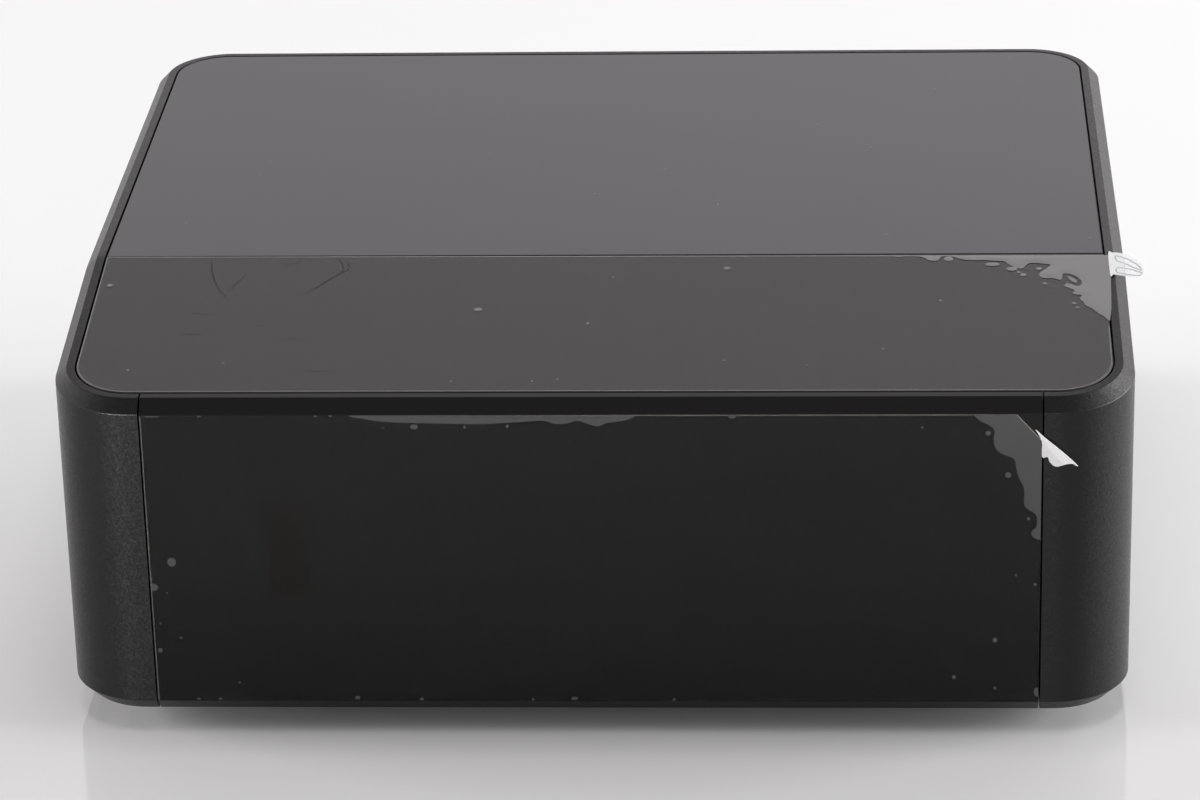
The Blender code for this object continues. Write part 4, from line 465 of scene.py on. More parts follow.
# Lamps: place, aim, size in metres, watts, and whether they give satin pieces a sheen or light matt surfaces
LAMP_AIM = (0.0, 0.0, 0.03)
LAMPS = [
    ("overhead_front", (0.10, -0.50, 1.80), LAMP_AIM, (0.6, 0.5), 2.9, False),
    ("overhead_left", (-0.25, 0.0, 1.90), LAMP_AIM, (0.4, 0.5), 2.9, False),
    ("overhead_right", (0.25, 0.0, 1.90), LAMP_AIM, (0.4, 0.5), 4.8, False),
    ("high_box", (0.9, 0.10, 0.90), LAMP_AIM, (0.5, 0.5), 1.0, False),
    ("left_box", (-2.5, 0.20, 0.48), LAMP_AIM, (1.6, 0.8), 90.0, False),
    ("side_box", (2.5, 0.20, 0.48), LAMP_AIM, (1.6, 0.8), 88.0, False),
    ("rear_left_box", (-1.5, 2.25, 0.82), LAMP_AIM, (1.8, 1.05), 10.0, False),
    ("rear_box", (1.5, 2.25, 0.82), LAMP_AIM, (1.8, 1.05), 25.0, False),
    ("left_sheen", (-2.5, 0.20, 0.48), LAMP_AIM, (1.6, 0.8), 50.0, True),
    ("side_sheen", (2.5, 0.20, 0.48), LAMP_AIM, (1.6, 0.8), 260.0, True),
    ("front_sheen", (-0.96, -2.3, 0.24), (0.0, -0.1, 0.04), (1.0, 0.44), 122.0, True),
]

# Looks: colour, roughness, and what else sets each one apart from a plain finish
COAT_ROUGHNESS = 0.05
GRAIN_TURN = (0.5, 0.35, 0.8)
# Heights over which the gloss front is painted lighter upwards, a painted reflection of the brighter floor
# further in front
PAINTED_REFLECTION_HEIGHTS = (6.0, 46.0)
LOOKS = {
    "satin_black": ((0.0010, 0.0008, 0.0011), 0.33, dict(
        specular=0.26, mottle=(0.4, 1800.0), spread=(0.10, 1600.0), flakes=(2800.0, 0.085),
        specks=((0.022, 0.021, 0.023), 2400.0, 0.14))),
    # The gloss front and its infrared window carry a painted reflection: colour added with height
    "gloss_black": ((0.0009, 0.0005, 0.0004), 0.05, dict(
        specular=0.22, mottle=(0.15, 60.0), spread=(0.02, 40.0), painted_reflection=(0.0052, 0.0050, 0.0049))),
    "infrared_window": ((0.0022, 0.0, 0.0), 0.05, dict(
        specular=0.18, mottle=(0.15, 60.0), spread=(0.02, 40.0), painted_reflection=(0.0052, 0.0038, 0.0036))),
    "satin_cover": ((0.011, 0.008, 0.014), 0.24, dict(
        mottle=(0.10, 30.0), spread=(0.03, 25.0), grain=(0.08, 5200.0),
        specks=((0.20, 0.19, 0.19), 90.0, 0.012))),
    "gloss_glass": ((0.0075, 0.0055, 0.0065), 0.06, dict(mottle=(0.15, 60.0), spread=(0.02, 35.0))),
    "clear_film": ((0.03, 0.03, 0.03), 0.10, dict(alpha=0.015, spread=(0.03, 60.0))),
    "lifted_film": ((0.032, 0.030, 0.031), 0.13, dict(coat=1.0, specular=1.0, mottle=(0.35, 150.0))),
    "lifted_front_film": ((0.012, 0.011, 0.012), 0.13, dict(coat=1.0, specular=0.6, mottle=(0.35, 150.0))),
    # Painted highlights: pale strips along the films' cut edges where they catch the light, faint and bright
    "faint_edge_highlight": ((0.52, 0.49, 0.47), 0.35, dict(alpha=0.17, mottle=(0.3, 300.0))),
    "bright_edge_highlight": ((0.52, 0.49, 0.48), 0.35, dict(alpha=0.35, mottle=(0.3, 300.0))),
    # The front tab is the same white as the top tab's tab_white, painted lighter for the light it catches from
    # the front
    "front_tab_painted_lit": ((0.96, 0.955, 0.95), 0.45, dict(mottle=(0.06, 260.0), grain=(0.15, 900.0))),
    "hair": ((0.012, 0.010, 0.010), 0.6, dict(alpha=0.15, specular=0.1, mottle=(0.3, 400.0))),
    "dust": ((0.22, 0.21, 0.21), 0.7, dict(mottle=(0.3, 900.0))),
    "tab_white": ((0.79, 0.79, 0.80), 0.45, dict(mottle=(0.08, 260.0), grain=(0.15, 900.0))),
    "tab_clear": ((0.88, 0.88, 0.89), 0.30, dict(alpha=0.30, mottle=(0.04, 200.0))),
    "tab_line": ((0.42, 0.41, 0.46), 0.5, {}),
    "sheet_steel": ((0.42, 0.42, 0.43), 0.38, dict(
        metallic=1.0, mottle=(0.18, 140.0), spread=(0.10, 400.0), grain=(0.15, 800.0),
        stretch=(1.0, 6.0, 1.0))),
    "textured_black": ((0.022, 0.022, 0.023), 0.55, dict(
        mottle=(0.2, 900.0), spread=(0.12, 1500.0), grain=(0.8, 1700.0), grain_reach=0.05)),
    "foot_rubber": ((0.020, 0.020, 0.020), 0.80, dict(
        mottle=(0.25, 500.0), spread=(0.08, 180.0), grain=(0.4, 2200.0))),
    "socket_plastic": ((0.018, 0.018, 0.019), 0.42, dict(
        mottle=(0.2, 700.0), spread=(0.08, 900.0), grain=(0.3, 4200.0))),
    "bright_nickel": ((0.72, 0.70, 0.66), 0.20, dict(
        metallic=1.0, mottle=(0.08, 300.0), spread=(0.08, 700.0), grain=(0.06, 2500.0))),
    "gold_plate": ((0.80, 0.58, 0.24), 0.18, dict(
        metallic=1.0, mottle=(0.08, 300.0), spread=(0.06, 800.0), grain=(0.05, 2500.0))),
    "circuit_board": ((0.02, 0.11, 0.055), 0.40, dict(
        mottle=(0.35, 420.0), spread=(0.10, 180.0), grain=(0.25, 1200.0),
        specks=((0.50, 0.40, 0.18), 420.0, 0.12))),
    "coil_wrap": ((0.62, 0.44, 0.08), 0.42, dict(
        mottle=(0.15, 250.0), grain=(0.3, 700.0), stretch=(1.0, 1.0, 6.0))),
    "capacitor_sleeve": ((0.02, 0.022, 0.03), 0.30, dict(mottle=(0.2, 200.0), spread=(0.08, 180.0))),
    "plain_extrusion": ((0.62, 0.63, 0.65), 0.36, dict(
        metallic=1.0, mottle=(0.08, 300.0), spread=(0.10, 180.0), grain=(0.25, 1500.0),
        stretch=(6.0, 6.0, 0.4))),
    "ribbon_cable": ((0.72, 0.72, 0.70), 0.45, dict(
        mottle=(0.06, 60.0), grain=(0.4, 900.0), stretch=(3.0, 0.2, 0.2))),
    "wire_sleeve": ((0.02, 0.02, 0.02), 0.5, dict(mottle=(0.2, 400.0), grain=(0.3, 1800.0))),
    "blackened_steel": ((0.05, 0.05, 0.052), 0.36, dict(
        metallic=1.0, mottle=(0.2, 600.0), spread=(0.10, 180.0), grain=(0.2, 2500.0))),
    "bright_steel": ((0.66, 0.66, 0.65), 0.26, dict(
        metallic=1.0, mottle=(0.12, 500.0), spread=(0.10, 180.0), grain=(0.15, 2500.0))),
    "insert_white": ((0.70, 0.70, 0.68), 0.35, dict(mottle=(0.05, 60.0))),
    "insert_red": ((0.48, 0.02, 0.02), 0.35, {}),
    "insert_black": ((0.02, 0.02, 0.02), 0.35, {}),
    "insert_orange": ((0.72, 0.22, 0.02), 0.35, {}),
    "lamp_amber": ((0.55, 0.30, 0.04), 0.2, {}),
    "lamp_green": ((0.12, 0.42, 0.10), 0.2, {}),
    "mark_white": ((0.70, 0.70, 0.70), 0.5, dict(mottle=(0.08, 500.0))),
}

# Slots of the CAD nodes, and the looks of those slots that have another name
SLOTS = {part["node"]: part["material_slot"] for part in frame["record"]["subparts"]}
SLOT_LOOKS = {
    "black_steel": "textured_black", "plated_shell": "bright_nickel", "heat_sink": "plain_extrusion",
    "ribbon": "ribbon_cable", "black_screw": "blackened_steel", "bright_screw": "bright_steel",
    "wrap": "satin_black", "fascia": "gloss_black", "cover": "satin_cover", "touch_glass": "gloss_glass",
    "white_tab": "tab_white",
}


def span(node):
    """Lowest and highest corner and middle of a CAD node, in millimetres from the middle of the housing."""
    low, high = [[(value - centre) / MM for value, centre in zip(corner, MIDDLE)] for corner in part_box(node)]
    return low, high, [(first + last) / 2 for first, last in zip(low, high)]


# Shapes


def arc(cx, cy, radius, start, turn, steps):
    """Points of an arc from the start angle through the turn, both in degrees."""
    angles = [math.radians(start + turn * i / steps) for i in range(steps + 1)]
    return [(cx + radius * math.cos(angle), cy + radius * math.sin(angle)) for angle in angles]


def corner(across, along, radius, start, turn=90.0):
    """Arc about a corner of the housing, given by its sides, each -1 or 1."""
    return arc(across * CORNER_X, along * CORNER_Y, radius, start, turn, CORNER_STEPS)


def circle(radius, steps, cx=0.0, cy=0.0):
    return arc(cx, cy, radius, 0.0, 360.0, steps)[:-1]


def rounded(x0, y0, x1, y1, radius, steps=6):
    """Rectangle with round corners."""
    left, right, bottom, top = x0 + radius, x1 - radius, y0 + radius, y1 - radius
    points = []
    for i, (cx, cy) in enumerate(((right, top), (left, top), (left, bottom), (right, bottom))):
        points += arc(cx, cy, radius, 90.0 * i, 90.0, steps)
    return points


def fillet(points, radii, steps=4):
    """Closed outline with each corner rounded by its own radius, and the corner that each point came from."""
    result = []
    for i, (point, radius) in enumerate(zip(points, radii)):
        here = Vector(point)
        if radius == 0.0:
            result.append((here.x, here.y, i))
            continue
        before = (Vector(points[i - 1]) - here).normalized()
        after = (Vector(points[(i + 1) % len(points)]) - here).normalized()
        half = before.angle(after) / 2
        centre = here + (before + after).normalized() * radius / math.sin(half)
        first = (here + before * radius / math.tan(half) - centre).normalized()
        last = (here + after * radius / math.tan(half) - centre).normalized()
        for k in range(steps + 1):
            spot = centre + first.slerp(last, k / steps) * radius
            result.append((spot.x, spot.y, i))
    return result


def softened(points, radius, steps=4):
    """Closed outline with each corner rounded by the same radius."""
    return [(x, y) for x, y, _ in fillet(points, [radius] * len(points), steps)]


def curved(a, b, c, d, cuts):
    """Points from b up to, but without, c on a smooth curve through a, b, c and d."""
    points = []
    for k in range(cuts):
        t = k / cuts
        points.append(0.5 * (2 * b + (c - a) * t + (2 * a - 5 * b + 4 * c - d) * t ** 2
                             + (3 * b - a - 3 * c + d) * t ** 3))
    return points


def smooth_loop(points, cuts=3):
    """Closed curve through the points."""
    spots = [Vector(point) for point in points]
    result = []
    for i in range(len(spots)):
        result += curved(*(spots[(i + k) % len(spots)] for k in (-1, 0, 1, 2)), cuts)
    return [tuple(spot) for spot in result]


def open_curve(points):
    """Curve through the points that ends at the first and the last of them."""
    spots = [Vector(point) for point in points]
    last = len(spots) - 1
    result = []
    for i in range(last):
        result += curved(*(spots[min(max(i + k, 0), last)] for k in (-1, 0, 1, 2)), HAIR_CUTS)
    return result + [spots[-1]]


def inside(point, loop):
    x, y = point
    found = False
    for (x0, y0), (x1, y1) in zip(loop, loop[1:] + loop[:1]):
        if (y0 > y) != (y1 > y) and x < (x1 - x0) * (y - y0) / (y1 - y0) + x0:
            found = not found
    return found


def edge_distance(point, loop):
    spot = Vector(point)
    best = math.inf
    for first, second in zip(loop, loop[1:] + loop[:1]):
        near, share = geometry.intersect_point_line(spot, Vector(first), Vector(second))
        if share < 0.0:
            near = Vector(first)
        elif share > 1.0:
            near = Vector(second)
        best = min(best, (spot - near.to_2d()).length)
    return best


def grid(loop, pitch, row_pitch, start, stagger, kept):
    """Spots in rows over a loop, every other row shifted by the stagger, where kept says so."""
    xs, ys = zip(*loop)
    spots = []
    row, odd = min(ys) + start, False
    while row < max(ys):
        column = min(xs) + (start + stagger if odd else start)
        while column < max(xs):
            if kept((column, row)):
                spots.append((column, row))
            column += pitch
        row, odd = row + row_pitch, not odd
    return spots


def shrunk(outline, distance):
    """Outline drawn in by a distance at each of its points."""
    count = len(outline)
    area = sum(a[0] * b[1] - b[0] * a[1] for a, b in zip(outline, outline[1:] + outline[:1]))
    way = 1.0 if area > 0 else -1.0
    result = []
    for i in range(count):
        here = Vector(outline[i])
        into = (here - Vector(outline[i - 1])).normalized()
        out = (Vector(outline[(i + 1) % count]) - here).normalized()
        normal = Vector((-(into.y + out.y), into.x + out.x)) * way
        lean = max((1.0 + into.dot(out)) / 2, LEAN_LEAST)
        spot = here + normal.normalized() * distance / math.sqrt(lean)
        result.append((spot.x, spot.y))
    return result


def upright(outline, y):
    """Outline in x and z, stood up at a place along the depth."""
    return [(x, y, z) for x, z in outline]


def top_height(y):
    """Height of the top: flat at the rear, sloping in front of the bend, with a short blend between."""
    run = BEND_Y - y
    if run <= -BEND_BLEND:
        return TOP
    if run >= BEND_BLEND:
        return TOP - run * SLOPE
    return TOP - SLOPE * (run + BEND_BLEND) ** 2 / (4 * BEND_BLEND)


# Meshes


def loft(mesh, rings, closed=False, paint=0):
    """Skin between rings of points, each of the same length, capped at both ends or closed on itself."""
    rows = [[mesh.verts.new(point) for point in ring] for ring in rings]
    count = len(rows[0])
    made = []
    for low, high in list(zip(rows, rows[1:])) + ([(rows[-1], rows[0])] if closed else []):
        for i in range(count):
            j = (i + 1) % count
            made.append(mesh.faces.new((low[i], low[j], high[j], high[i])))
    if not closed:
        made += [mesh.faces.new(rows[0][::-1]), mesh.faces.new(rows[-1])]
    for face in made:
        face.material_index = paint
    return made


def hollow(mesh, outer, inner, back, front, floor, edge):
    """Block from back to front between two outlines of the same length, open from its front to a floor."""
    loft(mesh, [upright(outer, back), upright(outer, front - edge), upright(shrunk(outer, edge), front),
                upright(shrunk(inner, -edge), front), upright(inner, front - edge), upright(inner, floor)])


def turned(mesh, profile, steps, centre, axis="Y", paint=0):
    """Outline of radius and height turned about an axis through the centre."""
    rows = []
    for radius, height in profile:
        flat = [(0.0, 0.0)] if radius == 0.0 else circle(radius, steps)
        row = []
        for a, b in flat:
            spot = (a, height, -b) if axis == "Y" else (a, b, height)
            row.append(mesh.verts.new([value + shift for value, shift in zip(spot, centre)]))
        rows.append(row)
    pairs = list(zip(rows, rows[1:]))
    if profile[0][0] > 0.0:
        pairs.append((rows[-1], rows[0]))
    for low, high in pairs:
        for i in range(steps):
            j = (i + 1) % steps
            ring = [low[i % len(low)], low[j % len(low)], high[j % len(high)], high[i % len(high)]]
            ring = list(dict.fromkeys(ring))
            if len(ring) > 2:
                mesh.faces.new(ring).material_index = paint


def box(mesh, low, high, paint=0):
    ring = [(low[0], low[1]), (high[0], low[1]), (high[0], high[1]), (low[0], high[1])]
    loft(mesh, [[(x, y, z) for x, y in ring] for z in (low[2], high[2])], paint=paint)


def thin_plate(mesh, points, edges, outline, place, heights, paint_of, raised, under, side_of):
    """Closed plate over the flat points within an outline, from an upper to a lower height above its surface.

    place gives a point from a flat spot and a height, and raised what is added to both heights at a spot.
    paint_of gives a face's look, under the looks that change on the lower side, and side_of those at the rim.
    """
    flat, _, faces, _, _, _ = geometry.delaunay_2d_cdt([Vector(p) for p in points], edges, [], 0, FLAT_NEAR)
    lifts = [raised(tuple(spot)) for spot in flat]
    upper, lower = ([mesh.verts.new(place(*spot, height + lift)) for spot, lift in zip(flat, lifts)]
                    for height in heights)
    uses = {}
    for face in faces:
        middle = tuple(sum((flat[i] for i in face), Vector((0.0, 0.0))) / len(face))
        if not inside(middle, outline):
            continue
        paint = paint_of(middle)
        mesh.faces.new([upper[i] for i in face]).material_index = paint
        mesh.faces.new([lower[i] for i in reversed(face)]).material_index = under.get(paint, paint)
        for a, b in zip(face, face[1:] + face[:1]):
            uses.setdefault((min(a, b), max(a, b)), []).append(paint)
    for (a, b), paints in uses.items():
        if len(paints) == 1:
            rim = mesh.faces.new((upper[a], upper[b], lower[b], lower[a]))
            rim.material_index = side_of(tuple((flat[a] + flat[b]) / 2), paints[0])
    bmesh.ops.delete(mesh, geom=[vert for vert in mesh.verts if not vert.link_faces], context="VERTS")


def mesh_object(name, mesh):
    """Object made from a bmesh in millimetres, placed in the frame."""
    data = bpy.data.meshes.new(name)
    mesh.to_mesh(data)
    mesh.free()
    data.transform(PLACE)
    item = bpy.data.objects.new(name, data)
    bpy.context.collection.objects.link(item)
    return item


def piece(name, mesh, nodes=(), more=(), look=None, body="housing", sharp=SHARP_ANGLE):
    """Place a bmesh in the frame as a named piece on a body, in the slot of the CAD node that it replaces.

    Its first look is that of its slot, unless another is named, and more gives the looks of its other zones.
    """
    slot = SLOTS[nodes[0]] if nodes else None
    bmesh.ops.recalc_face_normals(mesh, faces=mesh.faces)
    item = mesh_object(name, mesh)
    for zone in [look or SLOT_LOOKS.get(slot, slot), *more]:
        item.data.materials.append(MATERIALS[zone])
    item.data.shade_smooth()
    item.data.set_sharp_from_angle(angle=math.radians(sharp))
    even = item.modifiers.new("even_normals", "WEIGHTED_NORMAL")
    even.keep_sharp = True
    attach(item, body)
    if nodes:
        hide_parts(*nodes)
    return item


def carve(item, cutter):
    """Cut a bmesh out of a piece and keep the result."""
    bmesh.ops.recalc_face_normals(cutter, faces=cutter.faces)
    tool = mesh_object("cutter", cutter)
    even = item.modifiers["even_normals"]
    even.show_viewport = False
    modifier = item.modifiers.new("cut", "BOOLEAN")
    modifier.object = tool
    modifier.solver = "EXACT"
    bpy.context.view_layer.update()
    result = bpy.data.meshes.new_from_object(item.evaluated_get(bpy.context.evaluated_depsgraph_get()))
    item.modifiers.remove(modifier)
    old, spent = item.data, tool.data
    name = old.name
    item.data = result
    bpy.data.meshes.remove(old)
    result.name = name
    bpy.data.objects.remove(tool)
    bpy.data.meshes.remove(spent)
    even.show_viewport = True
    result.set_sharp_from_angle(angle=math.radians(SHARP_ANGLE))


# Materials


def wired(tree, kind, inputs, **settings):
    """New node with the given settings; each input is linked if it is a socket, and otherwise set."""
    node = tree.nodes.new(kind)
    for key, value in settings.items():
        setattr(node, key, value)
    for key, value in inputs.items():
        if isinstance(value, bpy.types.NodeSocket):
            tree.links.new(value, node.inputs[key])
        else:
            node.inputs[key].default_value = value
    return node


def finish(name, colour, roughness, metallic=0.0, alpha=1.0, coat=0.0, specular=0.5, mottle=(0.1, 60.0),
           spread=(0.04, 180.0), grain=None, grain_reach=0.02, stretch=(1.0, 1.0, 1.0), specks=None,
           flakes=None, painted_reflection=None):
    """Principled material whose colour, roughness and surface vary over the object.

    mottle, spread and grain give how much its colour, roughness and surface vary, and at what scale, specks
    a colour, a scale and a share, flakes a scale and a lean, and painted_reflection the colour that is added
    with height, a painted reflection that lightens the surface towards its top.
    """
    material = bpy.data.materials.new(name)
    material.use_nodes = True
    tree = material.node_tree
    shader = tree.nodes["Principled BSDF"]
    for key, value in (("Metallic", metallic), ("Alpha", alpha), ("Coat Weight", coat),
                       ("Coat Roughness", COAT_ROUGHNESS), ("Specular IOR Level", specular)):
        shader.inputs[key].default_value = value
    place = tree.nodes.new("ShaderNodeTexCoord").outputs["Object"]
    mapping = wired(tree, "ShaderNodeMapping", {"Vector": place, "Scale": stretch, "Rotation": GRAIN_TURN})
    spot = mapping.outputs["Vector"]

    def noise(scale, detail=3.0):
        inputs = {"Vector": spot, "Scale": scale, "Detail": detail}
        return wired(tree, "ShaderNodeTexNoise", inputs).outputs["Fac"]

    def cells(scale, output):
        return wired(tree, "ShaderNodeTexVoronoi", {"Vector": spot, "Scale": scale}).outputs[output]

    def mixed(share, first, second, **settings):
        inputs = {0: share, 6: first, 7: second}
        return wired(tree, "ShaderNodeMix", inputs, data_type="RGBA", **settings).outputs[2]

    low = [max(value * (1 - mottle[0]), 0.0) for value in colour]
    high = [min(value * (1 + mottle[0]), 1.0) for value in colour]
    base = mixed(noise(mottle[1]), (*low, 1.0), (*high, 1.0))
    if specks:
        speck_colour, speck_scale, speck_share = specks
        chosen = wired(tree, "ShaderNodeMath", {0: cells(speck_scale, "Distance"), 1: speck_share},
                       operation="LESS_THAN")
        base = mixed(chosen.outputs[0], base, (*speck_colour, 1.0))
    # Painted reflection: colour added with height, so the surface is lighter towards its top
    if painted_reflection:
        height = wired(tree, "ShaderNodeSeparateXYZ", {0: place}).outputs["Z"]
        inputs = {"Value": height, "From Min": PAINTED_REFLECTION_HEIGHTS[0] * MM, "From Max": PAINTED_REFLECTION_HEIGHTS[1] * MM}
        share = wired(tree, "ShaderNodeMapRange", inputs, interpolation_type="SMOOTHSTEP")
        base = mixed(share.outputs["Result"], base, (*painted_reflection, 1.0), blend_type="ADD")
    tree.links.new(base, shader.inputs["Base Color"])

    least, most = max(roughness - spread[0], 0.0), min(roughness + spread[0], 1.0)
    rough = wired(tree, "ShaderNodeMapRange", {"Value": noise(spread[1]), "To Min": least, "To Max": most})
    tree.links.new(rough.outputs["Result"], shader.inputs["Roughness"])
    if grain:
        bump = wired(tree, "ShaderNodeBump", {"Height": noise(grain[1], 2.0), "Strength": grain[0],
                                              "Distance": grain_reach * MM})
        tree.links.new(bump.outputs["Normal"], shader.inputs["Normal"])
    if flakes:
        flake_scale, lean = flakes
        tilt = wired(tree, "ShaderNodeVectorMath", {0: cells(flake_scale, "Color"), 1: (lean,) * 3,
                                                    2: (-lean / 2,) * 3}, operation="MULTIPLY_ADD")
        normal = tree.nodes.new("ShaderNodeNewGeometry").outputs["Normal"]
        total = wired(tree, "ShaderNodeVectorMath", {0: tilt.outputs[0], 1: normal}, operation="ADD")
        even = wired(tree, "ShaderNodeVectorMath", {0: total.outputs[0]}, operation="NORMALIZE")
        tree.links.new(even.outputs[0], shader.inputs["Normal"])
    return material


MATERIALS = {name: finish(name, colour, rough, **more) for name, (colour, rough, more) in LOOKS.items()}


def dress_nodes():
    """Give every CAD node the look of its slot."""
    for name, item in frame["nodes"].items():
        item.data.materials.clear()
        item.data.materials.append(MATERIALS[SLOT_LOOKS.get(SLOTS[name], SLOTS[name])])


# Housing


def wall_section():
    """Section of the wall with softened edges: inset, height and whether the height hangs from the top."""
    corners = [
        (BOTTOM_CHAMFER, UNDERSIDE, False, 0.25), (0.0, UNDERSIDE + BOTTOM_CHAMFER, False, 0.4),
        (0.0, -TOP_CHAMFER, True, 0.3), (TOP_CHAMFER, 0.0, True, 0.22), (RIM_INSET, 0.0, True, 0.15),
        (RIM_INSET, -SEAT_DEPTH, True, 0.0), (LEDGE_INSET, -SEAT_DEPTH, True, 0.0),
        (LEDGE_INSET, -LEDGE_UNDER, True, 0.0), (WALL, -LEDGE_UNDER - LEDGE_INSET + WALL, True, 0.0),
        (WALL, FLANGE_TOP, False, 0.0), (FLANGE_INSET, FLANGE_TOP, False, 0.0),
        (FLANGE_INSET, UNDERSIDE, False, 0.0),
    ]
    flat = [(inset, height + (TOP if hangs else 0.0)) for inset, height, hangs, _ in corners]
    section = []
    for inset, height, owner in fillet(flat, [radius for _, _, _, radius in corners]):
        hangs = corners[owner][2]
        section.append((inset, height - (TOP if hangs else 0.0), hangs))
    return section


def section_point(x, y, height, hangs):
    return (x, y, top_height(y) + height if hangs else height)


def wrap_path(inset):
    """Wrap from above, from its left front seam round the back to the right one."""
    radius = CORNER_RADIUS - inset
    seam = SEAM_X + SEAM_GAP / 2
    bends = [BEND_Y + BEND_BLEND * share for share in (-1.0, -0.5, 0.0, 0.5, 1.0)]
    points = [(-seam, FRONT_Y + inset)] + corner(-1, -1, radius, -90.0, -90.0)
    points += [(-SIDE_X + inset, bend) for bend in bends]
    points += corner(-1, 1, radius, 180.0, -90.0) + corner(1, 1, radius, 90.0, -90.0)
    points += [(SIDE_X - inset, bend) for bend in reversed(bends)]
    return points + corner(1, -1, radius, 0.0, -90.0) + [(seam, FRONT_Y + inset)]


def build_wrap():
    """Wrap with its rear window: a seat for the panel, and a smaller opening through the wall."""
    rows = [[section_point(x, y, height, hangs) for x, y in wrap_path(inset)]
            for inset, height, hangs in wall_section()]
    mesh = bmesh.new()
    loft(mesh, list(zip(*rows)))
    wrap = piece("wrap_shell", mesh, ["housing_wrap"])
    seat = rounded(-WINDOW_X, WINDOW_LOW, WINDOW_X, WINDOW_HIGH, WINDOW_RADIUS)
    wide = shrunk(seat, -WINDOW_CHAMFER)
    opening = rounded(-WINDOW_X + WINDOW_LEDGE, WINDOW_LOW + WINDOW_LEDGE, WINDOW_X - WINDOW_LEDGE,
                      WINDOW_HIGH - WINDOW_LEDGE_TOP, WINDOW_RADIUS)
    cuts = [[(seat, PANEL_IN - PANEL_PLAY), (seat, BACK_Y - WINDOW_CHAMFER), (wide, BACK_Y),
             (wide, BACK_Y + CUT_PAST)],
            [(opening, BACK_Y - WALL - CUT_PAST), (opening, BACK_Y)]]
    for rings in cuts:
        cutter = bmesh.new()
        loft(cutter, [upright(outline, y) for outline, y in rings])
        carve(wrap, cutter)


def build_fascia():
    """Gloss front with the infrared window as a zone of its face."""
    end = SEAM_X - SEAM_GAP / 2
    section = [section_point(0.0, FRONT_Y + inset, height, hangs)[1:]
               for inset, height, hangs in wall_section()]
    face = [i for i, (y, _) in enumerate(section) if abs(y - FRONT_Y) < NEAR]
    section[face[0] + 1:face[0] + 1] = [(FRONT_Y, EYE_Z[0]), (FRONT_Y, EYE_Z[1])]
    mesh = bmesh.new()
    for item in loft(mesh, [[(x, y, z) for y, z in section] for x in (-end, *EYE_X, end)]):
        middle = item.calc_center_median()
        in_window = EYE_X[0] < middle.x < EYE_X[1] and EYE_Z[0] < middle.z < EYE_Z[1]
        if in_window and middle.y < FRONT_Y + FACE_DEPTH:
            item.material_index = 1
    piece("fascia_panel", mesh, ["front_fascia"], ["infrared_window"])


def plate_outline(way, inset):
    """Plate on one side of the bend, the rear one for a way of 1 and the front one for -1."""
    radius = CORNER_RADIUS - RIM_INSET - PLATE_GAP - inset
    start = 0.0 if way > 0 else 180.0
    side = way * (CORNER_X + radius)
    seam = BEND_Y + way * SEAM_GAP / 2 + way * inset
    points = [(side, seam)] + corner(way, way, radius, start)
    return points + corner(-way, way, radius, start + 90.0) + [(-side, seam)]


def build_plates():
    """Flat rear cover and sloping touch glass, with their upper edges rounded off."""
    for name, node, way, edge in (("rear_cover", "rear_top_cover", 1, COVER_EDGE),
                                  ("front_glass", "touch_glass", -1, GLASS_EDGE)):
        rings = [(0.0, -PLATE_THICKNESS), (0.0, -edge)]
        for angle in (math.pi / 2 * i / PLATE_EDGE_STEPS for i in range(1, PLATE_EDGE_STEPS + 1)):
            rings.append((edge * (1 - math.cos(angle)), edge * (math.sin(angle) - 1)))
        mesh = bmesh.new()
        loft(mesh, [[(x, y, TOP + height) if way > 0 else on_glass(x, y, height)
                     for x, y in plate_outline(way, inset)] for inset, height in rings])
        piece(name, mesh, [node])


# Films


def oval(bubble, share, steps):
    cx, cy, width, length = bubble
    return [(cx + x * width / 2, cy + y * length / 2) for x, y in circle(share, steps)]


def film(name, outline, lifted, cores, bubbles, place, nodes, loose_look, light):
    """Thin sheet with its lifted patches and bubbles raised a little.

    light gives the slot of the painted highlight along the cut edge at a spot: 0 unseen, 2 faint, 3 bright.
    """
    # The strip along the cut edge is painted pale, as the edge's highlight
    strip = shrunk(outline, EDGE_HIGHLIGHT_WIDTH)
    domes = [oval(bubble, 1.0, BUBBLE_STEPS) for bubble in bubbles]
    loose = lifted + cores + domes
    points = []
    edges = []
    for loop in [outline, strip] + loose:
        start = len(points)
        points += loop
        edges += [(start + i, start + (i + 1) % len(loop)) for i in range(len(loop))]
    for loop in lifted:
        points += grid(loop, LIFT_PITCH, LIFT_PITCH * LIFT_ROW, 0.0, LIFT_PITCH / 2, lambda spot: (
            inside(spot, loop) and inside(spot, strip) and edge_distance(spot, strip) > LIFT_MARGIN))
    for bubble in bubbles:
        points += oval(bubble, DOME_SHARE, DOME_STEPS) + [bubble[:2]]

    def raised(spot):
        height = 0.0
        for loop in lifted:
            if inside(spot, loop):
                share = min(edge_distance(spot, loop) / LIFT_RUN, 1.0)
                height = max(height, FILM_LIFT * share * share * (3 - 2 * share))
        for cx, cy, width, length in bubbles:
            reach = ((spot[0] - cx) / width * 2) ** 2 + ((spot[1] - cy) / length * 2) ** 2
            if reach < 1.0:
                height = max(height, BUBBLE_LIFT * min(width, BUBBLE_WIDEST) * (1 - reach))
        return height

    def paint_of(spot):
        rim = 0 if inside(spot, strip) else light(spot)
        return rim or int(any(inside(spot, loop) for loop in loose))

    mesh = bmesh.new()
    thin_plate(mesh, points, edges, outline, place, (FILM_SKIN, FILM_UNDER), paint_of, raised, {1: 0},
               lambda spot, paint: light(spot))
    piece(name, mesh, nodes, [loose_look, "faint_edge_highlight", "bright_edge_highlight"], sharp=FILM_SHARP)


def on_glass(x, y, height):
    return (x, y, TOP - (BEND_Y - y) * SLOPE + height)


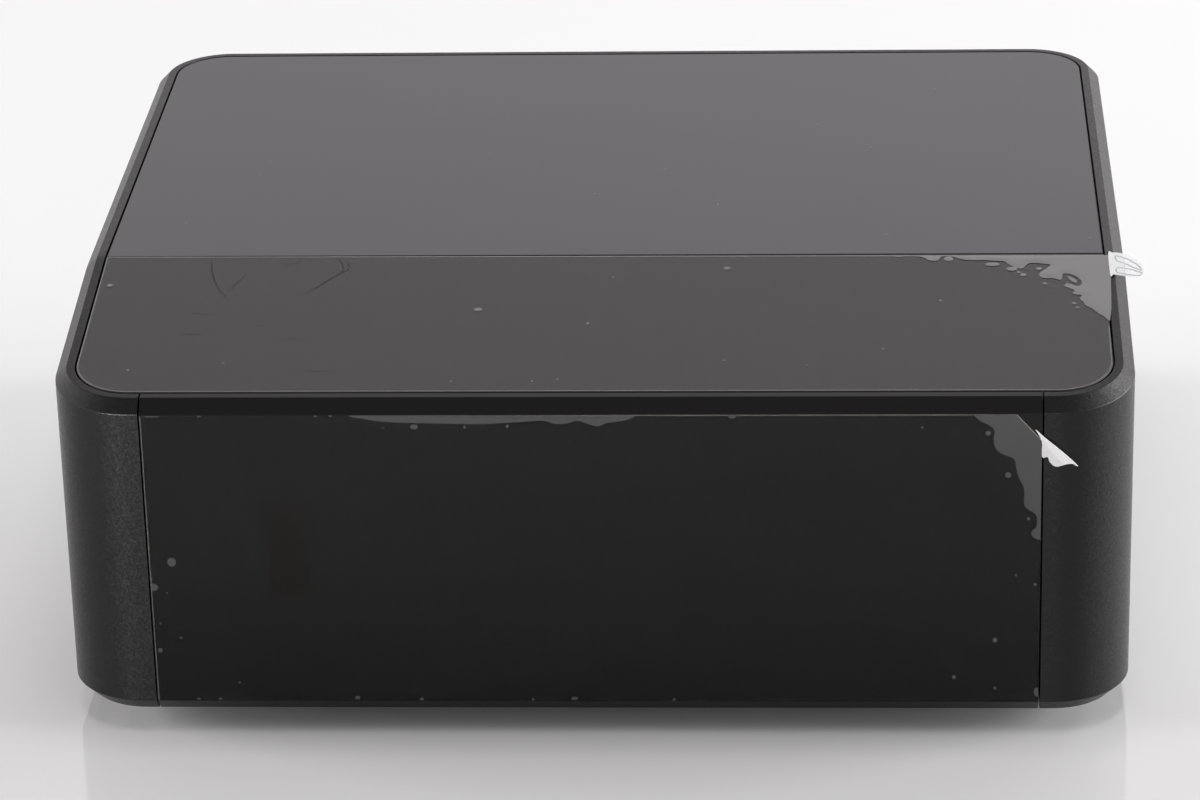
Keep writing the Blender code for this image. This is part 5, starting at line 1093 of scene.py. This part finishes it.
def on_front(x, z, height):
    return (x, FRONT_Y - height, z)


# Which painted highlight a film's cut edge gets at a spot: 3 bright, 2 faint, 0 none
def top_edge_highlight(spot):
    if spot[1] > TOP_BRIGHT_Y:
        return 3
    return 2 if spot[0] < FILM_EDGE_X else 0


def front_edge_highlight(spot):
    fold = (spot[0] - FRONT_FILM_X) / FOLD_WIDTH + (spot[1] - FRONT_FILM_HIGH) / FOLD_HEIGHT + 1.0
    if fold > -FOLD_NEAR and spot[1] > FRONT_FILM_HIGH - FOLD_HEIGHT:
        return 3
    if spot[1] > FRONT_FILM_HIGH - EDGE_NEAR:
        return 2 if spot[0] > FRONT_EDGE_START else 0
    return 2 if spot[0] < EDGE_NEAR - FRONT_FILM_X else 0


def build_films():
    radius = CORNER_RADIUS - FILM_FRONT_INSET
    outline = [(-FILM_EDGE_X, FILM_REAR_LEFT)] + corner(-1, -1, radius, 180.0)
    outline += corner(1, -1, radius, 270.0) + FILM_OVERHANG
    film("top_film_sheet", outline, [smooth_loop(TOP_LIFTED)], [smooth_loop(TOP_CORE)], TOP_BUBBLES, on_glass,
         ["top_film"], "lifted_film", top_edge_highlight)
    outline = [(-FRONT_FILM_X, FRONT_FILM_LOW), (FRONT_FILM_X, FRONT_FILM_LOW),
               (FRONT_FILM_X, FRONT_FILM_HIGH - FOLD_HEIGHT), (FRONT_FILM_X - FOLD_WIDTH, FRONT_FILM_HIGH),
               (-FRONT_FILM_X, FRONT_FILM_HIGH)]
    film("front_film_sheet", outline, [smooth_loop(FRONT_LIFTED), smooth_loop(FRONT_LENS)], [], FRONT_BUBBLES,
         on_front, ["front_film"], "lifted_front_film", front_edge_highlight)


def build_film_marks():
    """Hairs and smears as flat strands on the film, and dust as small domes."""
    mesh = bmesh.new()
    for width, path in TOP_HAIRS:
        spots = open_curve(path)
        rows = []
        for i, spot in enumerate(spots):
            ahead = spots[min(i + 1, len(spots) - 1)] - spots[max(i - 1, 0)]
            taper = HAIR_TIP + (1.0 - HAIR_TIP) * math.sin(math.pi * (i + 0.5) / len(spots))
            side = Vector((-ahead.y, ahead.x)).normalized() * width * taper / 2
            edges = ((1, -MARK_SINK), (1, HAIR_RISE), (-1, HAIR_RISE), (-1, -MARK_SINK))
            rows.append([on_glass(spot.x + way * side.x, spot.y + way * side.y, FILM_SKIN + rise)
                         for way, rise in edges])
        loft(mesh, rows)
    piece("film_hairs", mesh, look="hair", sharp=FILM_SHARP)
    mesh = bmesh.new()
    for x, y, width in DUST:
        rings = []
        for share, height in DUST_RINGS:
            rise = DUST_RISE * width * height - MARK_SINK
            ring = circle(width / 2 * share, DUST_STEPS, x, y)
            rings.append([(a, b, TOP + rise) if y > BEND_Y else on_glass(a, b, FILM_SKIN + rise)
                          for a, b in ring])
        loft(mesh, rings)
    piece("top_dust", mesh, look="dust", sharp=DUST_SHARP)


def sheet(mesh, outline, place, cut=()):
    """Thin curved plate over a flat outline, with its second look from a cut line across it on."""
    points = outline + list(cut)
    edges = [(i, (i + 1) % len(outline)) for i in range(len(outline))]
    edges += [(len(outline) + i, len(outline) + i + 1) for i in range(len(cut) - 1)]
    points += grid(outline, TAB_PITCH, TAB_PITCH, TAB_PITCH / 2, 0.0, lambda spot: (
        inside(spot, outline) and edge_distance(spot, outline) > TAB_PITCH / 3))
    thin_plate(mesh, points, edges, outline, place, (TAB_THICKNESS, 0.0),
               lambda spot: int(bool(cut) and spot[0] >= cut[0][0]), lambda spot: 0.0, {},
               lambda spot, paint: paint)


def build_tabs():
    """Pull tabs: the top one over the rim, the front one folded out from the corner.

    The front tab's outline is drawn as the camera sees it, so its lifted points slide along the sight line.
    """

    def over_rim(x, y, height):
        out = max(x - TOP_TAB_ROOT, 0.0)
        return on_glass(x, y, TOP_TAB_GAP + height + TOP_TAB_CURL * out * out)

    mesh = bmesh.new()
    sheet(mesh, smooth_loop(TOP_TAB, 4), over_rim, [(TOP_TAB_OPAQUE_END, y) for y in TOP_TAB_CUT])
    for loop in TOP_TAB_LOOPS:
        ring = smooth_loop(loop, 2)
        hole = shrunk(ring, LINE_WIDTH)
        rings = [(ring, LINE_LOW), (ring, LINE_HIGH), (hole, LINE_HIGH), (hole, LINE_LOW)]
        loft(mesh, [[over_rim(x, y, height) for x, y in line] for line, height in rings], True, 2)
    piece("top_pull_tab", mesh, ["top_film_tab"], ["tab_clear", "tab_line"], sharp=FILM_SHARP)

    fold_low = Vector((FRONT_FILM_X, FRONT_FILM_HIGH - FOLD_HEIGHT))
    along = Vector((-FOLD_WIDTH, FOLD_HEIGHT)).normalized()
    across = Vector((along.y, -along.x))

    def from_fold(x, z, height):
        away = max((Vector((x, z)) - fold_low).dot(across), 0.0)
        down = (Vector((x, z)) - fold_low).dot(along)
        curl = FRONT_TAB_LIFT * (1 - math.exp(-away / CURL_RUN))
        out = curl + WAVE_HEIGHT * math.sin(down * WAVE_TURN) * min(away / WAVE_RUN, 1.0)
        return on_front(x + SLIDE_ACROSS * out, z + SLIDE_UP * out, FRONT_TAB_GAP + out + height)

    mesh = bmesh.new()
    sheet(mesh, smooth_loop(FRONT_TAB, 4), from_fold)
    piece("front_pull_tab", mesh, ["front_film_tab"], look="front_tab_painted_lit", sharp=FILM_SHARP)


# Underside and screws


def build_feet():
    for end in CORNER_NAMES:
        name = "foot_" + end
        _, high, middle = span(name)
        neck = [(NECK_RADIUS, high[2] - NECK_EDGE), (NECK_RADIUS - NECK_EDGE, high[2]), (0.0, high[2])]
        mesh = bmesh.new()
        turned(mesh, FOOT_PROFILE + neck, FOOT_STEPS, (middle[0], middle[1], 0.0), axis="Z")
        piece("rubber_" + name, mesh, [name])


def build_screws():
    """Pan head screws with a hexagonal socket, up into the base and forward into the rear panel."""
    flats = []
    for i in range(SCREW_STEPS):
        angle = 2 * math.pi * i / SCREW_STEPS
        reach = HEX_REACH / math.cos(angle - round(angle / (math.pi / 3)) * math.pi / 3)
        flats.append((reach * math.cos(angle), reach * math.sin(angle)))
    for name in ["base_screw_" + end for end in CORNER_NAMES] + ["panel_screw_left", "panel_screw_right"]:
        low, high, middle = span(name)
        in_base = name.startswith("base")
        radius, length = BASE_SHANK if in_base else PANEL_SHANK
        shank = [(radius, -length), (radius, 0.0)]
        rings = [(circle(size, SCREW_STEPS), height) for size, height in shank + HEAD_RINGS]
        rings += [([(x * size, y * size) for x, y in flats], height) for size, height in HEX_RINGS]
        mesh = bmesh.new()
        rows = []
        for ring, height in rings:
            if in_base:
                rows.append([(middle[0] + a, middle[1] + b, low[2] + HEAD_HEIGHT - height) for a, b in ring])
            else:
                rows.append([(middle[0] + a, high[1] - HEAD_HEIGHT + height, middle[2] + b) for a, b in ring])
        loft(mesh, rows)
        piece(name.replace("screw", "bolt"), mesh, [name])


# Rear connectors


def build_jacks():
    for name, insert in JACK_INSERTS.items():
        low, _, middle = span(name)
        centre = (middle[0], low[1], middle[2])
        mesh = bmesh.new()
        for paint, (profile, steps) in enumerate(JACK_PARTS):
            turned(mesh, profile, steps, centre, paint=paint)
        piece(name.replace("out", "jack"), mesh, [name], [insert, "gold_plate"])
    for name in ("line_in", "trigger_out"):
        low, _, middle = span(name)
        mesh = bmesh.new()
        turned(mesh, MINIJACK_RING, RING_STEPS, (middle[0], low[1], middle[2]))
        piece(name + "_ring", mesh, [name])


def build_optical():
    """Optical socket with its lens, and its shutter with ribs and the round head that it swings about."""
    low, high, middle = span("optical_socket")
    mesh = bmesh.new()
    outer = rounded(low[0], low[2], high[0], high[2], OPTICAL_ROUNDS[0])
    inner = rounded(low[0] + OPTICAL_WALL, low[2] + OPTICAL_WALL, high[0] - OPTICAL_WALL,
                    high[2] - OPTICAL_WALL, OPTICAL_ROUNDS[1])
    hollow(mesh, outer, inner, low[1], high[1], high[1] - OPTICAL_DEPTH, OPTICAL_EDGE)
    turned(mesh, OPTICAL_LENS, PIN_STEPS, (middle[0], high[1] - OPTICAL_LENS_DEPTH, middle[2]))
    piece("optical_housing", mesh, ["optical_socket"])

    low, high, _ = span("optical_shutter")
    mesh = bmesh.new()
    box(mesh, (low[0], low[1] + FLAP_BACK, low[2]), (high[0], low[1] + FLAP_FRONT, high[2] - FLAP_PIN))
    for share in RIB_SHARES:
        z = low[2] + (high[2] - low[2]) * share
        box(mesh, (low[0] + RIB_INSET, low[1] + RIB_BACK, z - RIB_HALF),
            (high[0] - RIB_INSET, low[1] + RIB_FRONT, z + RIB_HALF))
    rod = circle(FLAP_PIN, ROD_STEPS, low[1] + FLAP_PIN, high[2] - FLAP_PIN)
    loft(mesh, [[(x, a, b) for a, b in rod] for x in (low[0], high[0])])
    piece("shutter_flap", mesh, ["optical_shutter"], body="shutter")


def plug_socket(node, outer, bottom, half, thickness):
    """Plated shell with a plastic tongue and a base, by half widths; also gives the tongue's place."""
    low, high, (x, _, _) = span(node)
    mesh = bmesh.new()
    hollow(mesh, outer, shrunk(outer, SHELL_SKIN), low[1], high[1], low[1] + SHELL_BACK, SHELL_EDGE)
    z = bottom + TONGUE_RISE
    box(mesh, (x - half, low[1] + TONGUE_START, z), (x + half, high[1] - TONGUE_END, z + thickness), paint=1)
    box(mesh, (x - half, low[1], low[2]), (x + half, low[1] + SHELL_BACK, bottom + BASE_OVERLAP), paint=1)
    return mesh, z


def build_video():
    low, high, (x, _, _) = span("video_socket")
    bottom = high[2] - VIDEO_HEIGHT
    outer = softened([(x + a, bottom + b) for a, b in VIDEO_OUTLINE], SHELL_ROUND)
    mesh, z = plug_socket("video_socket", outer, bottom, *VIDEO_TONGUE)
    above = z + VIDEO_TONGUE[1]
    for i in range(2 * VIDEO_CONTACTS - 1):
        left = x - VIDEO_FIRST + i * UPPER_SHIFT
        if i % 2:
            under, over = above - CONTACT_SINK, above + CONTACT_PROUD
        else:
            under, over = z - CONTACT_PROUD, z + CONTACT_SINK
        box(mesh, (left, low[1] + CONTACT_START, under),
            (left + CONTACT_WIDTH, high[1] - VIDEO_END, over), paint=2)
    piece("video_port", mesh, ["video_socket"], ["socket_plastic", "gold_plate"])


def build_usb():
    low, high, (x, _, _) = span("usb_socket")
    bottom = high[2] - USB_HEIGHT
    outer = rounded(x - USB_HALF, bottom, x + USB_HALF, high[2], SHELL_ROUND)
    mesh, z = plug_socket("usb_socket", outer, bottom, *USB_TONGUE)
    for shift in USB_CONTACTS:
        box(mesh, (x + shift - USB_CONTACT_HALF, low[1] + CONTACT_START, z - USB_PROUD),
            (x + shift + USB_CONTACT_HALF, high[1] - USB_END, z + CONTACT_SINK), paint=2)
    for shift in SPRING_SHIFTS:
        for under, over in ((high[2] - SPRING_FAR, high[2] - SPRING_NEAR),
                            (bottom + SPRING_NEAR, bottom + SPRING_FAR)):
            box(mesh, (x + shift - SPRING_HALF, high[1] - SPRING_DEPTHS[0], under),
                (x + shift + SPRING_HALF, high[1] - SPRING_DEPTHS[1], over))
    piece("usb_port", mesh, ["usb_socket"], ["socket_plastic", "gold_plate"])


def build_network():
    """Network socket with a stepped opening, its pins and two lamps."""
    low, high, (x, _, _) = span("network_socket")
    base = low[2] + NETWORK_RISE
    inner = softened([(x + a, base + b) for a, b in NETWORK_OPENING], NETWORK_ROUND, 2)
    heights = [high[2], base, low[2] + NETWORK_MIDDLE, low[2]]
    block = [(x - NETWORK_HALF, z) for z in heights] + [(x + NETWORK_HALF, z) for z in reversed(heights)]
    outer = [point for point in block for _ in range(len(inner) // len(block))]
    mesh = bmesh.new()
    made = loft(mesh, [upright(outer, low[1]), upright(outer, high[1]), upright(inner, high[1]),
                       upright(inner, high[1] - NETWORK_DEPTH)])
    for item in made[len(outer):]:
        item.material_index = 1
    bmesh.ops.remove_doubles(mesh, verts=mesh.verts, dist=NEAR)
    for i in range(PIN_COUNT):
        left = x - PIN_FIRST + i * PIN_PITCH
        rings = []
        for (back, back_height), (front, front_height) in (PIN_LOWER, PIN_UPPER):
            rings.append([(left, high[1] - back, base + back_height),
                          (left + PIN_WIDTH, high[1] - back, base + back_height),
                          (left + PIN_WIDTH, high[1] - front, base + front_height),
                          (left, high[1] - front, base + front_height)])
        loft(mesh, rings, paint=2)
    for way, paint in ((-1, 3), (1, 4)):
        left = x + way * LAMP_SHIFT - LAMP_HALF
        under, over = (low[2] + height for height in LAMP_HEIGHTS)
        box(mesh, (left, high[1] - LAMP_DEPTH, under), (left + 2 * LAMP_HALF, high[1] + LAMP_PROUD, over),
            paint=paint)
    zones = ["socket_plastic", "gold_plate", "lamp_amber", "lamp_green"]
    piece("network_port", mesh, ["network_socket"], zones)


def build_button():
    low, high, middle = span("setup_button")
    tip = high[1] - low[1]
    mesh = bmesh.new()
    turned(mesh, BUTTON_BACK + [(radius, tip + height) for radius, height in BUTTON_TIP], BUTTON_STEPS,
           (middle[0], low[1], middle[2]))
    piece("setup_key", mesh, ["setup_button"], body="button")


def build_mains():
    low, high, (x, _, _) = span("mains_inlet")
    z = high[2] - INLET_DROP
    outer, inner = (rounded(x - half, z - rise, x + half, z + rise, radius, INLET_STEPS)
                    for half, rise, radius in (INLET_OUTER, INLET_INNER))
    mesh = bmesh.new()
    hollow(mesh, outer, inner, low[1], high[1], high[1] - INLET_DEPTH, INLET_EDGE)
    for way in (-1, 1):
        turned(mesh, INLET_PIN, PIN_STEPS, (x + way * INLET_PIN_SHIFT, high[1] - INLET_PIN_DEPTH, z), paint=1)
    half, depth, drop = INLET_BACK
    box(mesh, (x - half, low[1], low[2]), (x + half, high[1] - depth, z - drop))
    piece("inlet_body", mesh, ["mains_inlet"], ["bright_nickel"])

    low, high, _ = span("rocker_frame")
    across, up = SWITCH_WALL
    outer = rounded(low[0], low[2], high[0], high[2], SWITCH_ROUNDS[0])
    inner = rounded(low[0] + across, low[2] + up, high[0] - across, high[2] - up, SWITCH_ROUNDS[1])
    mesh = bmesh.new()
    hollow(mesh, outer, inner, low[1], high[1], high[1] - SWITCH_DEPTH, SWITCH_EDGE)
    piece("switch_bezel", mesh, ["rocker_frame"])


def build_rocker():
    """Rocker with softened edges and its two plain marks, one raised line and one raised ring."""
    mesh = bmesh.new()
    mesh.from_mesh(frame["nodes"]["power_rocker"].data)
    bmesh.ops.remove_doubles(mesh, verts=mesh.verts, dist=WELD)
    mesh.transform(PLACE.inverted())
    bmesh.ops.dissolve_limit(mesh, angle_limit=math.radians(1.0), verts=mesh.verts, edges=mesh.edges)
    sharp = [edge for edge in mesh.edges
             if len(edge.link_faces) == 2 and edge.calc_face_angle() > math.radians(ROCKER_SHARP)]
    bmesh.ops.bevel(mesh, geom=sharp, offset=ROCKER_EDGE, segments=3, profile=0.5, affect="EDGES",
                    clamp_overlap=True)
    for face in mesh.faces:
        face.material_index = 0
    _, high, (x, _, z) = span("power_rocker")
    surface = BVHTree.FromBMesh(mesh)

    def on_rocker(outline, lift):
        ring = []
        for a, b in outline:
            spot = surface.ray_cast(Vector((a, high[1] + RAY_START, b)), Vector((0.0, -1.0, 0.0)))[0]
            ring.append((a, spot.y + lift, b))
        return ring

    half, rise = MARK_HALF
    line = rounded(x - half, z + MARK_RISE - rise, x + half, z + MARK_RISE + rise, MARK_ROUND)
    loft(mesh, [on_rocker(line, -MARK_ROOT), on_rocker(line, MARK_HEIGHT)], paint=1)
    outer, inner = (circle(radius, MARK_STEPS, x, z - MARK_RISE) for radius in MARK_RADII)
    rings = [(outer, -MARK_ROOT), (outer, MARK_HEIGHT), (inner, MARK_HEIGHT), (inner, -MARK_ROOT)]
    loft(mesh, [on_rocker(ring, lift) for ring, lift in rings], closed=True, paint=1)
    piece("switch_rocker", mesh, ["power_rocker"], ["mark_white"], body="rocker")


# Stage


def build_stage():
    """Floor with light and shade painted into its colour from in front of the object to behind it: a painted
    shadow just in front.
    """
    mesh = bmesh.new()
    sides = ((-1, -1), (1, -1), (1, 1), (-1, 1))
    mesh.faces.new([mesh.verts.new((x * FLOOR_REACH, y * FLOOR_REACH, 0.0)) for x, y in sides])
    floor = mesh_object("studio_floor", mesh)
    material = bpy.data.materials.new("pale_floor")
    material.use_nodes = True
    tree = material.node_tree
    shader = tree.nodes["Principled BSDF"]
    shader.inputs["Roughness"].default_value = FLOOR_ROUGHNESS
    shader.inputs["Specular IOR Level"].default_value = FLOOR_SPECULAR
    place = tree.nodes.new("ShaderNodeTexCoord").outputs["Object"]
    along = wired(tree, "ShaderNodeVectorMath", {0: place, 1: FLOOR_WAY}, operation="DOT_PRODUCT")
    share = wired(tree, "ShaderNodeMapRange", {"Value": along.outputs["Value"], "From Min": FLOOR_START,
                                               "From Max": FLOOR_END})
    painted_shade = wired(tree, "ShaderNodeValToRGB", {"Fac": share.outputs["Result"]})
    painted_shade.color_ramp.interpolation = "EASE"
    stops = painted_shade.color_ramp.elements
    for _ in FLOOR_PAINTED_SHADE[2:]:
        stops.new(0.5)
    for stop, (spot, colour) in zip(stops, FLOOR_PAINTED_SHADE):
        stop.position = (spot - FLOOR_START) / (FLOOR_END - FLOOR_START)
        stop.color = (*colour, 1.0)
    tree.links.new(painted_shade.outputs["Color"], shader.inputs["Base Color"])
    floor.data.materials.append(material)


def studio_world():
    """White for the camera, shaded and brightened by direction in reflections, a fill for matt surfaces."""
    world = bpy.data.worlds.new("studio_world")
    bpy.context.scene.world = world
    world.use_nodes = True
    tree = world.node_tree
    tree.nodes.clear()
    way = tree.nodes.new("ShaderNodeTexCoord").outputs["Generated"]
    parts = wired(tree, "ShaderNodeSeparateXYZ", {0: way})

    def ramp(axis, start, end, first, last):
        inputs = {"Value": parts.outputs[axis], "From Min": start, "From Max": end, "To Min": first,
                  "To Max": last}
        return wired(tree, "ShaderNodeMapRange", inputs, interpolation_type="SMOOTHSTEP").outputs["Result"]

    def maths(operation, first, second):
        return wired(tree, "ShaderNodeMath", {0: first, 1: second}, operation=operation).outputs[0]

    def glow(colour, strength):
        return wired(tree, "ShaderNodeBackground", {"Color": colour, "Strength": strength}).outputs[0]

    def chosen(share, first, second):
        return wired(tree, "ShaderNodeMixShader", {0: share, 1: first, 2: second}).outputs[0]

    strength, *factors = [ramp(*row) for row in MIRRORED_RAMPS]
    for factor in factors:
        strength = maths("MULTIPLY", strength, factor)
    rays = tree.nodes.new("ShaderNodeLightPath")
    either = maths("MAXIMUM", rays.outputs["Is Glossy Ray"], rays.outputs["Is Transmission Ray"])
    lit = chosen(either, glow(WHITE, ramp(*FILL_RAMP)), glow(MIRRORED_COLOUR, strength))
    final = chosen(rays.outputs["Is Camera Ray"], lit, glow(WHITE, 1.0))
    wired(tree, "ShaderNodeOutputWorld", {"Surface": final})


def soft_box(name, place, aim, size, energy, only_on):
    """Rectangular lamp at a place, turned to its aim, all in metres.

    It lights matt surfaces and isn't mirrored, unless only_on names the objects that it gives a sheen to.
    """
    data = bpy.data.lights.new(name, "AREA")
    data.shape = "RECTANGLE"
    data.size, data.size_y = size
    data.energy = energy
    lamp = bpy.data.objects.new(name, data)
    lamp.location = place
    lamp.rotation_euler = (Vector(aim) - Vector(place)).to_track_quat("-Z", "Y").to_euler()
    lamp.visible_glossy = bool(only_on)
    lamp.visible_diffuse = not only_on
    lamp.visible_camera = False
    if only_on:
        lit = bpy.data.collections.new(name + "_receivers")
        for item in only_on:
            lit.objects.link(item)
        lamp.light_linking.receiver_collection = lit
    bpy.context.collection.objects.link(lamp)


def build_light():
    studio_world()
    solids = [item for item in bpy.context.scene.objects if item.type == "MESH"]
    satin = [item for item in solids if MATERIALS["satin_black"] in item.data.materials[:]]
    for name, place, aim, size, energy, sheen in LAMPS:
        soft_box(name, place, aim, size, energy, satin if sheen else [])


def build_camera():
    data = bpy.data.cameras.new("photo_camera")
    data.sensor_width = CAMERA_SENSOR
    data.lens = CAMERA_LENS
    data.clip_start, data.clip_end = CAMERA_CLIP
    camera = bpy.data.objects.new("photo_camera", data)
    camera.location = PLACE @ Vector(CAMERA_PLACE)
    camera.rotation_euler = [math.radians(turn) for turn in CAMERA_TURN]
    bpy.context.collection.objects.link(camera)
    bpy.context.scene.camera = camera


for build in (dress_nodes, build_wrap, build_fascia, build_plates, build_films, build_film_marks, build_tabs,
              build_feet, build_screws, build_jacks, build_optical, build_video, build_usb, build_network,
              build_button, build_mains, build_rocker, build_stage, build_light, build_camera):
    build()

bpy.context.scene.view_settings.view_transform = "Standard"
